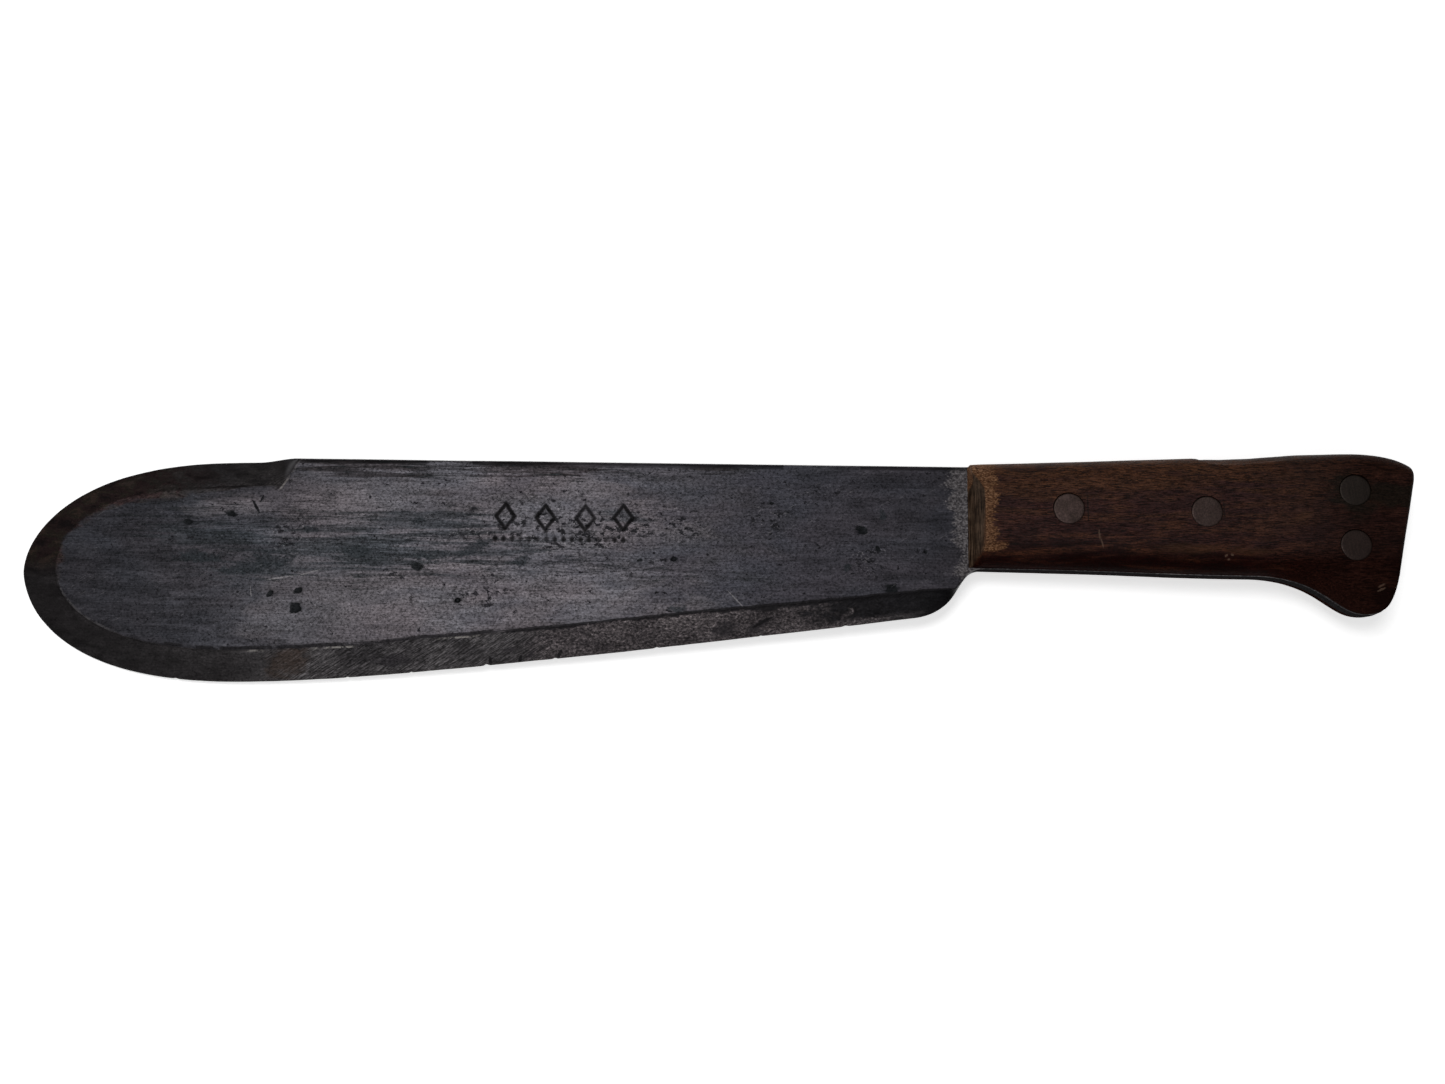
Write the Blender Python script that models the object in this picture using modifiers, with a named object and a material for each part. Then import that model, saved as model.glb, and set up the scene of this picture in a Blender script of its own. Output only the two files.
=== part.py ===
"""Fixed-blade bolo knife: one forged blade with a full tang, two wooden grip scales and four cutler's rivets.

The knife lies flat with its left side up. It is drafted in millimetres on its own lines: x = 0 at the front of
the grip, y = 0 along the spine, z = 0 on the blade's mid-plane, the tip towards -x and the edge towards -y.
The empty "bench" then carries every piece to its resting place, centred on the origin and standing on z = 0.
"""
import math
from collections import namedtuple

import bmesh
import bpy
from mathutils import Vector
from mathutils.geometry import interpolate_bezier

MM = 0.001
GAP = 0.3

# Blade
BLADE_THICKNESS = 4.8
EDGE_THICKNESS = 0.6
ARRIS = 0.4
TIP_X = -292.4
LOWEST_Y = -70.1
SHOULDER_X = -8.0
HELD_PATCH_X = (-130.0, -90.0)
HELD_PATCH_Y = (-38.0, -18.0)

# Grip
GRIP_THICKNESS = 22.2
FRONT_X = -0.3
FRONT_FOOT_Y = -32.0
BUTT_X = 136.9
CREST_Y = 4.9
SCALE_INSET = 0.25
CREST_ROUND = (4.6, 5.2)
BELLY_ROUND = (7.6, 6.6)
BUTT_ROUND = 1.8
ROUND_STEPS = 6
FRONT_SLOPE = 4.2
FRONT_SLOPE_CENTRE_Y = -24.0
FRONT_SLOPE_SPAN = 20.4

# Cutler's rivets
RIVET_PLACES = {
    "rivet_front": (29.6, -14.7),
    "rivet_middle": (71.8, -15.1),
    "rivet_butt_upper": (117.3, -7.8),
    "rivet_butt_lower": (116.8, -24.9),
}
HEAD_RADIUS = 4.76
HEAD_THICKNESS = 1.6
HEAD_SUNK = 0.1
HEAD_EDGE = 0.25
TUBE_RADIUS = 3.0
TUBE_BORE_RADIUS = 2.3
SHANK_RADIUS = 2.0
ROUND_SEGMENTS = 32
CUT_MARGIN = 2.0

HALF_BLADE = BLADE_THICKNESS / 2
HALF_GRIP = GRIP_THICKNESS / 2
SCALE_BASE = HALF_BLADE + GAP

# One stretch of an outline: a Bezier from the last point to `end`. `leave` and `arrive` are its handles, and
# a stretch with none is straight. `sharp` gives how sharp the rim is at its two ends, 0 for square, 1 for keen.
Stretch = namedtuple("Stretch", "steps end leave arrive sharp", defaults=(None, None, (0, 0)))

NOTCH = (-209.0, 0.0)
HEEL = (-4.4, -40.2)
GRIP_START = (4.5, -32.4)

# The rim of the blade, from the front of the grip along the spine and round the tip to the heel.
BLADE_RIM = (
    Stretch(4, NOTCH),
    Stretch(12, (-222.0, -1.1), (-213.0, 0.0), (-217.0, -1.0), (0, 1)),
    Stretch(12, (-265.5, -7.2), (-229.6, -1.25), (-248.9, -1.16), (1, 1)),
    Stretch(16, (TIP_X, -36.5), (-283.4, -13.7), (TIP_X, -25.9), (1, 1)),
    Stretch(24, (-228.0, LOWEST_Y), (TIP_X, -38.6), (-289.6, LOWEST_Y), (1, 1)),
    Stretch(26, (-17.0, -47.7), (-209.4, LOWEST_Y), (-175.3, -69.07), (1, 1)),
    Stretch(6, HEEL, (-12.97, -47.16), (-7.8, -45.6), (1, 1)),
    Stretch(8, GRIP_START, (-0.9, -34.6), (0.0, -32.4), (1, 0)),
)

# The shoulder line where the flats meet the grinds, in step with BLADE_RIM.
GRIND_LINE = (
    Stretch(4, (-208.8, -ARRIS)),
    Stretch(12, (-214.0, -9.2), (-210.4, -3.6), (-210.8, -8.2)),
    Stretch(12, (-260.0, -12.9), (-237.3, -9.2), (-254.9, -11.3)),
    Stretch(16, (-281.9, -34.0), (-273.5, -17.1), (-281.9, -25.0)),
    Stretch(24, (-228.0, -60.2), (-281.9, -43.8), (-270.9, -60.2)),
    Stretch(26, (-17.0, -39.7), (-186.8, -60.2), (-127.4, -50.7)),
    Stretch(6, (-4.1, -38.6), (-12.0, -39.2), (-8.0, -38.9)),
    Stretch(8, (4.5, -32.4 + ARRIS), (-0.6, -34.2), (0.2, -32.0)),
)

# The underside of the grip, from the heel fillet down the hook to the corner of the butt.
GRIP_BELLY = (
    Stretch(9, (88.0, -33.6), (49.3, -32.4), (55.5, -33.6)),
    Stretch(8, (121.5, -45.1), (109.5, -34.0), (111.6, -45.1)),
    Stretch(5, (129.0, -39.5), (128.3, -45.1), (128.7, -41.4)),
)

# The top of the grip, from the other corner of the butt forward to the spine.
GRIP_CREST = (
    Stretch(4, (135.0, 1.5), (136.9, 0.1), (136.1, 0.9)),
    Stretch(5, (118.0, CREST_Y), (131.5, 3.6), (126.0, CREST_Y)),
    Stretch(13, (0.0, 0.0), (109.0, CREST_Y), (63.6, 2.4)),
)
BUTT_TOP = (BUTT_X, -1.2)


def trace(start, stretches):
    """Points along the stretches, with the start and every end included."""
    points = [Vector(start)]
    for stretch in stretches:
        first, last = points[-1], Vector(stretch.end)
        leave = Vector(stretch.leave) if stretch.leave else first.lerp(last, 1 / 3)
        arrive = Vector(stretch.arrive) if stretch.arrive else first.lerp(last, 2 / 3)
        points += interpolate_bezier(first, leave, arrive, last, stretch.steps + 1)[1:]
    return points


def inset(points, distance):
    """An open line moved towards its left side, which is inwards on an outline that runs anticlockwise."""
    moved = []
    for index, point in enumerate(points):
        before = points[max(index - 1, 0)]
        after = points[min(index + 1, len(points) - 1)]
        along = (after - before).normalized()
        moved.append(point + distance * Vector((-along.y, along.x)))
    return moved


def rim_heights(stretches):
    """Half the rim's thickness at each traced point, eased between square and sharp."""
    square, keen = HALF_BLADE - ARRIS, EDGE_THICKNESS / 2
    heights = [square]
    for stretch in stretches:
        for step in range(1, stretch.steps + 1):
            share = step / stretch.steps
            eased = share * share * (3 - 2 * share)
            sharp = stretch.sharp[0] + (stretch.sharp[1] - stretch.sharp[0]) * eased
            heights.append(square + (keen - square) * sharp)
    return heights


def grip_lines():
    """The underside and the top of the tang, both running anticlockwise."""
    return trace(GRIP_START, GRIP_BELLY), trace(BUTT_TOP, GRIP_CREST)


def new_object(name, mesh, collection, material=None):
    """An object for the mesh, carried by the bench empty."""
    piece = bpy.data.objects.new(name, mesh)
    collection.objects.link(piece)
    piece.parent = bpy.data.objects["bench"]
    if material:
        mesh.materials.append(material)
    return piece


def mesh_from(bm, name, sharp_angle=30):
    """Finish a bmesh as a mesh in metres, smooth but for its sharp edges."""
    bmesh.ops.scale(bm, vec=Vector((MM, MM, MM)), verts=bm.verts)
    bmesh.ops.recalc_face_normals(bm, faces=bm.faces)
    mesh = bpy.data.meshes.new(name)
    bm.to_mesh(mesh)
    bm.free()
    mesh.shade_smooth()
    mesh.set_sharp_from_angle(angle=math.radians(sharp_angle))
    return mesh


def new_material(name, colour, roughness, metallic):
    """A plain Principled material."""
    material = bpy.data.materials.new(name)
    material.use_nodes = True
    shader = material.node_tree.nodes["Principled BSDF"]
    shader.inputs["Base Color"].default_value = (*colour, 1.0)
    shader.inputs["Roughness"].default_value = roughness
    shader.inputs["Metallic"].default_value = metallic
    return material


def cut(piece, cutter):
    """Cut a piece with a hidden cutter."""
    boolean = piece.modifiers.new("cut_" + cutter.name, "BOOLEAN")
    boolean.operation = "DIFFERENCE"
    boolean.solver = "EXACT"
    boolean.object = cutter


def add_turned(name, profile, place, collection, material=None):
    """A solid of revolution on an upright axis, from (radius, z) points listed down its outer side."""
    bm = bmesh.new()
    verts = [bm.verts.new((radius, 0, z)) for radius, z in profile]
    for upper, lower in zip(verts, verts[1:]):
        bm.edges.new((upper, lower))
    bmesh.ops.scale(bm, vec=Vector((MM, MM, MM)), verts=bm.verts)
    mesh = bpy.data.meshes.new(name)
    bm.to_mesh(mesh)
    bm.free()

    piece = new_object(name, mesh, collection, material)
    piece.location = (place[0] * MM, place[1] * MM, 0)
    screw = piece.modifiers.new("turn", "SCREW")
    screw.steps = ROUND_SEGMENTS
    screw.render_steps = ROUND_SEGMENTS
    screw.use_merge_vertices = True
    screw.merge_threshold = 0.00001
    screw.use_smooth_shade = True
    return piece


def blade_half():
    """The upper half of the blade, open on the mid-plane: flat, grinds and half of the rim."""
    rim = trace((0.0, 0.0), BLADE_RIM)
    shoulder = trace((0.0, -ARRIS), GRIND_LINE)
    heights = rim_heights(BLADE_RIM)
    for line in grip_lines():
        first = 1 if line[0] == rim[-1] else 0
        stop = len(line) - 1 if line[-1] == rim[0] else len(line)
        rim += line[first:stop]
        shoulder += inset(line, ARRIS)[first:stop]
        heights += [HALF_BLADE - ARRIS] * (stop - first)

    bm = bmesh.new()
    middle = [bm.verts.new((point.x, point.y, 0)) for point in rim]
    upper = [bm.verts.new((point.x, point.y, z)) for point, z in zip(rim, heights)]
    inner = [bm.verts.new((point.x, point.y, HALF_BLADE)) for point in shoulder]
    for low, high in ((middle, upper), (upper, inner)):
        for index in range(len(low)):
            following = (index + 1) % len(low)
            bm.faces.new((low[index], low[following], high[following], high[index]))
    bm.faces.new(inner)
    split_flat(bm)
    return mesh_from(bm, "blade")


def split_flat(bm):
    """Divide the big flat at the shoulder, and round the patch in its middle that a bar would hold."""
    across = [((x, 0, 0), (1, 0, 0)) for x in (SHOULDER_X, *HELD_PATCH_X)]
    along = [((0, y, 0), (0, 1, 0)) for y in HELD_PATCH_Y]
    for place, normal in across + along:
        flats = [face for face in bm.faces if all(vert.co.z == face.verts[0].co.z for vert in face.verts)]
        geometry = {item for face in flats for item in (face, *face.edges, *face.verts)}
        bmesh.ops.bisect_plane(bm, geom=list(geometry), plane_co=place, plane_no=normal)


def make_blade(collection, cutters, material):
    """The forging: a heavy round-nosed blade and the full tang, pierced for the rivets."""
    blade = new_object("blade", blade_half(), collection, material)
    mirror = blade.modifiers.new("other_half", "MIRROR")
    mirror.use_axis = (False, False, True)
    mirror.merge_threshold = 0.00001
    for cutter in cutters:
        cut(blade, cutter)


def quarter_round(size, steps):
    """(inset, drop) pairs down a quarter of an ellipse, from the outline in to the flat."""
    width, depth = size
    angles = [math.pi / 2 * step / steps for step in range(steps + 1)]
    return [(width * (1 - math.cos(angle)), depth * (1 - math.sin(angle))) for angle in angles]


def across_scale(crest, belly):
    """(place, height) pairs on one section of a scale: foot, wall, round, flat, round, wall and foot."""
    span = (belly - crest).length
    towards_belly = (belly - crest).normalized()
    row = [(crest, SCALE_BASE)]
    for inwards, drop in quarter_round(CREST_ROUND, ROUND_STEPS):
        row.append((crest + inwards * towards_belly, HALF_GRIP - drop))
    row.append((crest + 0.5 * span * towards_belly, HALF_GRIP))
    for inwards, drop in reversed(quarter_round(BELLY_ROUND, ROUND_STEPS)):
        row.append((belly - inwards * towards_belly, HALF_GRIP - drop))
    row.append((belly, SCALE_BASE))
    return row


def front_slope(y):
    """How far the sawn front leans back at the height of the flat: not at all at the crest, most below it."""
    away = abs(y - FRONT_SLOPE_CENTRE_Y) / FRONT_SLOPE_SPAN
    return max(GAP, FRONT_SLOPE * (1 - away ** 3))


def butt_drop(place, butt_top, butt_toe):
    """How far the surface falls in rounding over the end of the grip."""
    along = (butt_toe - butt_top).normalized()
    away = place - butt_top
    distance = abs(away.x * along.y - away.y * along.x)
    share = max(0.0, 1 - distance / BUTT_ROUND)
    return BUTT_ROUND * (1 - math.sqrt(1 - share * share))


def scale_rows():
    """Rows of (x, y, z) over a scale, from the foot of its sawn front to the foot of its butt."""
    under, top = grip_lines()
    belly = [Vector((FRONT_X, FRONT_FOOT_Y))] + inset(under, SCALE_INSET)[1:]
    crest = list(reversed(inset(top, SCALE_INSET)))
    crest[0] = Vector((FRONT_X, -SCALE_INSET))
    sections = [across_scale(*ends) for ends in zip(crest, belly)]

    front = sections[0]
    rows = [[(place.x, place.y, SCALE_BASE) for place, _ in front]]
    rows.append([(place.x + front_slope(place.y), place.y, z) for place, z in front])
    for section in sections[1:]:
        heights = [max(SCALE_BASE, z - butt_drop(place, crest[-1], belly[-1])) for place, z in section]
        rows.append([(place.x, place.y, z) for (place, _), z in zip(section, heights)])
    rows.append([(place.x, place.y, SCALE_BASE) for place, _ in sections[-1]])
    return rows


def scale_mesh(name, side):
    """One scale as a grid laid over its rows, closed underneath; side is 1 for the left and -1 for the right."""
    rows = scale_rows()
    count = len(rows[0])
    bm = bmesh.new()
    grid = bmesh.ops.create_grid(bm, x_segments=count - 1, y_segments=len(rows) - 1, size=1.0)
    places = [place for row in rows for place in row]
    for vert, (x, y, z) in zip(grid["verts"], places):
        vert.co = (x, y, side * z)
    bmesh.ops.remove_doubles(bm, verts=bm.verts, dist=0.001)
    rim = [edge for edge in bm.edges if edge.is_boundary]
    bmesh.ops.contextual_create(bm, geom=rim)
    return mesh_from(bm, name, sharp_angle=40)


def make_scale(name, side, collection, cutters, material):
    """A wooden grip scale with its stepped rivet holes."""
    scale = new_object(name, scale_mesh(name, side), collection, material)
    for cutter in cutters:
        cut(scale, cutter)


def hole_profile():
    """The void that a rivet needs: a straight hole that opens into a seat for the head at each end."""
    seat = HEAD_RADIUS + GAP
    hole = TUBE_RADIUS + GAP
    seat_floor = HALF_GRIP - HEAD_SUNK - HEAD_THICKNESS - GAP
    outside = HALF_GRIP + CUT_MARGIN
    return [(0, outside), (seat, outside), (seat, seat_floor), (hole, seat_floor),
            (hole, -seat_floor), (seat, -seat_floor), (seat, -outside), (0, -outside)]


def make_cutters(collection):
    """One hidden cutter on each rivet's axis."""
    cutters = []
    for name, place in RIVET_PLACES.items():
        cutter = add_turned(name + "_hole", hole_profile(), place, collection)
        cutter.hide_render = True
        cutter.display_type = "WIRE"
        cutters.append(cutter)
    return cutters


def tube_half_profile():
    """A flat head with a blind tube below it."""
    top = HALF_GRIP - HEAD_SUNK
    under = top - HEAD_THICKNESS
    mouth = -under + GAP
    bore_end = under - 2 * GAP
    return [(0, top), (HEAD_RADIUS - HEAD_EDGE, top), (HEAD_RADIUS, top - HEAD_EDGE), (HEAD_RADIUS, under),
            (TUBE_RADIUS, under), (TUBE_RADIUS, mouth), (TUBE_BORE_RADIUS, mouth),
            (TUBE_BORE_RADIUS, bore_end), (0, bore_end)]


def shank_half_profile():
    """A flat head with a solid shank above it, which goes up the tube of the other half."""
    bottom = -(HALF_GRIP - HEAD_SUNK)
    seat = bottom + HEAD_THICKNESS
    end = -seat - 4 * GAP
    return [(0, end), (SHANK_RADIUS - HEAD_EDGE, end), (SHANK_RADIUS, end - HEAD_EDGE), (SHANK_RADIUS, seat),
            (HEAD_RADIUS, seat), (HEAD_RADIUS, bottom + HEAD_EDGE), (HEAD_RADIUS - HEAD_EDGE, bottom), (0, bottom)]


def make_rivets(collection, material):
    """Two halves on each rivet's axis: the tube half from the left, the shank half from the right."""
    for name, place in RIVET_PLACES.items():
        add_turned(name + "_tube", tube_half_profile(), place, collection, material)
        add_turned(name + "_shank", shank_half_profile(), place, collection, material)


def clear_scene():
    """Remove whatever the file opened with."""
    for item in list(bpy.data.objects):
        bpy.data.objects.remove(item)


def add_collection(name):
    """A new collection in the scene."""
    collection = bpy.data.collections.new(name)
    bpy.context.scene.collection.children.link(collection)
    return collection


def add_bench(collection):
    """The empty that carries the knife from its drafting axes to its place at rest."""
    bench = bpy.data.objects.new("bench", None)
    collection.objects.link(bench)
    centre = Vector(((TIP_X + BUTT_X) / 2, (LOWEST_Y + CREST_Y) / 2, -HALF_GRIP))
    bench.location = -centre * MM


def main():
    clear_scene()
    parts = add_collection("bolo_knife")
    cutter_collection = add_collection("cutters")
    add_bench(parts)

    steel = new_material("blade_steel", (0.045, 0.045, 0.05), 0.45, 0.9)
    wood = new_material("scale_wood", (0.045, 0.017, 0.009), 0.5, 0.0)
    bronze = new_material("rivet_metal", (0.14, 0.11, 0.085), 0.45, 0.85)

    cutters = make_cutters(cutter_collection)
    make_blade(parts, cutters, steel)
    make_scale("left_scale", 1, parts, cutters, wood)
    make_scale("right_scale", -1, parts, cutters, wood)
    make_rivets(parts, bronze)


main()
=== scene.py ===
"""Looks of the bolo knife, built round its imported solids.

Every piece is drafted in millimetres on the knife's own lines: x = 0 at the front of the grip, y = 0 along
the spine, z = 0 on the blade's mid-plane, the tip towards -x and the edge towards -y. SHIFT carries a point
to the frame, where the knife lies on its right side with its left side up.
"""
import math
from collections import namedtuple
from functools import reduce

import bpy
import numpy as np
from mathutils import Matrix, Vector
from mathutils.geometry import delaunay_2d_cdt, interpolate_bezier
from mathutils.kdtree import KDTree


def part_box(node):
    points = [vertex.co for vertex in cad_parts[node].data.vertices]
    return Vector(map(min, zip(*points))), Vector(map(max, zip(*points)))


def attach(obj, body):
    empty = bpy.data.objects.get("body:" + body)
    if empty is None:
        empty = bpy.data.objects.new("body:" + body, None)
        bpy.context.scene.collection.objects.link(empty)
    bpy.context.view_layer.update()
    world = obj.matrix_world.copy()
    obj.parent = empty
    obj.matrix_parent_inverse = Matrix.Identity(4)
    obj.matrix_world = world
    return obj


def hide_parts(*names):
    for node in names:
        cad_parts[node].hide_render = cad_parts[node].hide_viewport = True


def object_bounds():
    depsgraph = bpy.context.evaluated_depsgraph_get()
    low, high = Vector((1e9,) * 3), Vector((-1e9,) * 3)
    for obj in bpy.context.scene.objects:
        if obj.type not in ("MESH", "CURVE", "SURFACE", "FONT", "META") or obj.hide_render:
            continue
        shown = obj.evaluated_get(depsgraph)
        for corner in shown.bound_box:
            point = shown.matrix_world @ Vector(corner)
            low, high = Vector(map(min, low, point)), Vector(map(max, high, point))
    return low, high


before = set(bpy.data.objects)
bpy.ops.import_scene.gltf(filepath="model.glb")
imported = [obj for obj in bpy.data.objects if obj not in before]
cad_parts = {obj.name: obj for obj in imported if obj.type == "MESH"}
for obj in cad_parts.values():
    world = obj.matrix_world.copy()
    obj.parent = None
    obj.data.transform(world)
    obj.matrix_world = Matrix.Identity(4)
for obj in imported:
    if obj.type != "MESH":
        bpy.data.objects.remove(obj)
CAD_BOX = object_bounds()

MM = 0.001
GAP = 0.3

# Blade
HALF_BLADE = 2.4
ARRIS = 0.4
HALF_EDGE = 0.3
TIP_X = -292.4
LOWEST_Y = -70.1

# Grip
HALF_GRIP = 11.1
SCALE_BASE = HALF_BLADE + GAP
FRONT_X = -0.3
FRONT_FOOT_Y = -32
BUTT_X = 136.9
CREST_Y = 4.9
SCALE_INSET = 0.25
CREST_ROUND = (4.6, 5.2)
BELLY_ROUND = (7.6, 6.6)
BUTT_ROUND = 1.8
FRONT_SLOPE = 4.2
FRONT_SLOPE_CENTRE_Y = -24
FRONT_SLOPE_SPAN = 20.4
FRONT_EASE = 30

# Cutler's rivets
RIVET_PLACES = {
    "rivet_front": (29.6, -14.7),
    "rivet_middle": (71.8, -15.1),
    "rivet_butt_upper": (117.3, -7.8),
    "rivet_butt_lower": (116.8, -24.9),
}
HEAD_RADIUS = 4.76
HEAD_THICKNESS = 1.6
HEAD_SUNK = 0.1
HEAD_CROWN = 0.08
TUBE_RADIUS = 3
TUBE_BORE_RADIUS = 2.3
SHANK_RADIUS = 2
SEAT_PLAY = 0.13
SEAT_SHIFT = 0.08
RAGGED_SEAT = "rivet_butt_upper"
ROUND_SEGMENTS = 72

# One stretch of an outline: a Bezier from the last point to `end`, with handles `leave` and `arrive`, or a
# straight with none. `sharp` gives how sharp the rim is at its two ends, 0 for square, 1 for keen.
Stretch = namedtuple("Stretch", "steps end leave arrive sharp", defaults=(None, None, (0, 0)))

GRIP_START = (4.5, -32.4)
BLADE_RIM = (
    Stretch(4, (-209, 0)),
    Stretch(12, (-222, -1.1), (-213, 0), (-217, -1), (0, 1)),
    Stretch(12, (-265.5, -7.2), (-229.6, -1.25), (-248.9, -1.16), (1, 1)),
    Stretch(16, (TIP_X, -36.5), (-283.4, -13.7), (TIP_X, -25.9), (1, 1)),
    Stretch(24, (-228, LOWEST_Y), (TIP_X, -38.6), (-289.6, LOWEST_Y), (1, 1)),
    Stretch(26, (-17, -47.7), (-209.4, LOWEST_Y), (-175.3, -69.07), (1, 1)),
    Stretch(6, (-4.4, -40.2), (-12.97, -47.16), (-7.8, -45.6), (1, 1)),
    Stretch(8, GRIP_START, (-0.9, -34.6), (0, -32.4), (1, 0)),
)
GRIND_LINE = (
    Stretch(4, (-208.8, -ARRIS)),
    Stretch(12, (-214, -9.2), (-210.4, -3.6), (-210.8, -8.2), (0, 1)),
    Stretch(12, (-260, -12.9), (-237.3, -9.2), (-254.9, -11.3), (1, 1)),
    Stretch(16, (-281.9, -34), (-273.5, -17.1), (-281.9, -25), (1, 1)),
    Stretch(24, (-228, -60.2), (-281.9, -43.8), (-270.9, -60.2), (1, 1)),
    Stretch(26, (-17, -39.7), (-186.8, -60.2), (-127.4, -50.7), (1, 1)),
    Stretch(6, (-4.1, -38.6), (-12, -39.2), (-8, -38.9), (1, 1)),
    Stretch(8, (4.5, -32.4 + ARRIS), (-0.6, -34.2), (0.2, -32), (1, 0)),
)
GRIP_BELLY = (
    Stretch(9, (88, -33.6), (49.3, -32.4), (55.5, -33.6)),
    Stretch(8, (121.5, -45.1), (109.5, -34), (111.6, -45.1)),
    Stretch(5, (129, -39.5), (128.3, -45.1), (128.7, -41.4)),
)
GRIP_CREST = (
    Stretch(4, (135, 1.5), (136.9, 0.1), (136.1, 0.9)),
    Stretch(5, (118, CREST_Y), (131.5, 3.6), (126, CREST_Y)),
    Stretch(13, (0, 0), (109, CREST_Y), (63.6, 2.4)),
)
BUTT_TOP = (BUTT_X, -1.2)

# How closely the blade's mesh is pointed, in millimetres.
TRACE_FINENESS = 40
LINE_SPACING = 0.45
TANG_LINE_SPACING = 1.4
FLAT_SPACING = 1.05
TANG_SPACING = 4
MARK_SPACING = 0.26
TANG_STARTS = 6
SHOULDER_OFFSETS = (-1.2, -0.75, -0.4, 0.35, 0.8)
RIM_OFFSETS = (0.35, 0.8)
PIT_CLEARANCE = 0.15
BESIDE_CLEARANCE = 0.22
GRID_CLEARANCE = 0.62
PLAN_TOLERANCE = 1e-6
ON_LINE = 1e-4

# Smoothing stops at edges sharper than this, in degrees.
SHARP_BLADE = 50
SHARP_SCALE = 38
SHARP_RIVET = 35

# Wear of the blade: (x, width, depth) of nicks in the edge, (x, y, radius, depth) of pits in the two flats.
EDGE_NICKS = ((-148, 1, 0.5), (-127, 0.8, 0.35), (-190.5, 0.7, 0.25), (-96, 0.9, 0.3),
              (-64, 0.6, 0.25), (-243, 0.9, 0.25), (-171, 0.5, 0.3), (-38, 1.2, 0.3))
LEFT_PITS = ((-207.2, -47.1, 1.75, 0.18), (-206.5, -41.8, 1.15, 0.14), (-215.1, -42.9, 0.9, 0.1),
             (-228.7, -17.9, 1.3, 0.1), (-241.7, -20.8, 1.1, 0.08), (-170.3, -33.9, 1.35, 0.12),
             (-157.3, -44.2, 0.8, 0.3), (-91.2, -30.5, 0.8, 0.15), (-33.1, -20.4, 1.6, 0.15),
             (-28.1, -26.6, 1.1, 0.1), (-23.9, -39, 2.1, 0.05), (-171.8, -43.6, 0.4, 0.2),
             (-61, -12.5, 0.6, 0.12), (-13.4, -27.1, 0.7, 0.12), (-15.6, -26.4, 0.5, 0.1))
RIGHT_PITS = ((-182, -21.5, 1.4, 0.35), (-143.7, -40.2, 1.1, 0.3), (-236.2, -38.4, 1.6, 0.4),
              (-99, -14, 1, 0.3), (-70.3, -27.7, 1.3, 0.3), (-40.9, -12.1, 0.9, 0.25))
# The bevel bulges a little from straight, with a groove along its shoulder. FLAT_WEAR is (depth, lump sizes).
BEVEL_CURVE = 0.93
GROOVE_DEPTH = 0.13
GRIND_WAVE = 0.05
FLAT_WEAR = ((0.035, (38, 17)), (0.012, (5.5, 3.5)))
LEAST_HEIGHT = 0.12
STRUCK_FULLY = 0.2
PIT_RINGS = (0, 0.3, 0.55, 0.8, 1, 1.2)

# The struck mark: four open lozenges over a row of small punches.
MARK_BOX = ((-151.5, -27.2), (-99.5, -12.4))
LOZENGE_PLACES = ((-143.6, -17.6), (-131.2, -17.9), (-118.8, -17.9), (-107, -17.6))
LOZENGE_HALVES = (2.9, 3.8)
LOZENGE_GROOVE = (0.58, 0.36)
PUNCH_START = (-146.6, -24.6)
PUNCH_PITCH = 2.65
PUNCH_COUNT = 16
PUNCH_HALVES = (0.95, 1.35)
PUNCH_DEPTH = 0.3

# A splinter is gone from the crest of the left scale, above this line of (x, y).
CHIP_LINE = ((67.5, 3.4), (69.9, 1.9), (72.3, 0.4), (77.6, -0.3), (84.4, 0.1), (93, 1), (98.6, 2),
             (101.5, 4.2))
CHIP_DEPTH = 0.75

# Depths of the other wear of the scales.
WOOD_SWELL = 0.05
WOOD_GRAIN = 0.02
SAW_MARKS = 0.1
RIDGE_WEAR = 0.22

low_corner, high_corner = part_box("blade")
SHIFT = Vector((low_corner.x - TIP_X * MM, low_corner.y - LOWEST_Y * MM, (low_corner.z + high_corner.z) / 2))


# ---- numbers

def ease(value, low, high):
    """0 at `low`, 1 at `high`, with a smooth rise between."""
    share = np.clip((value - low) / (high - low), 0, 1)
    return share * share * (3 - 2 * share)


def lattice(column, row, seed):
    """A repeatable random number from -1 to 1 for each whole-numbered place."""
    mixed = (column * 374761393 + row * 668265263 + seed * 974634777) & 0xFFFFFFFF
    mixed = ((mixed ^ (mixed >> 13)) * 1274126177) & 0xFFFFFFFF
    return ((mixed ^ (mixed >> 16)) & 0xFFFF) / 0x8000 - 1


def ripple(x, y, size, seed):
    """Smooth noise from -1 to 1 with lumps of `size` along x and y."""
    u, v = x / size[0], y / size[1]
    column, row = np.floor(u).astype(np.int64), np.floor(v).astype(np.int64)
    across, up = ease(u - column, 0, 1), ease(v - row, 0, 1)
    low = lattice(column, row, seed) * (1 - across) + lattice(column + 1, row, seed) * across
    high = lattice(column, row + 1, seed) * (1 - across) + lattice(column + 1, row + 1, seed) * across
    return low * (1 - up) + high * up


def rough(x, y, size, seed, octaves=3):
    """Noise from about -1 to 1, with each octave half the size and half the height of the one before."""
    total = np.zeros_like(x)
    for octave in range(octaves):
        share = 0.5 ** octave
        total += share * ripple(x, y, (size[0] * share, size[1] * share), seed + 31 * octave)
    return total / 1.5


# ---- outlines

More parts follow.
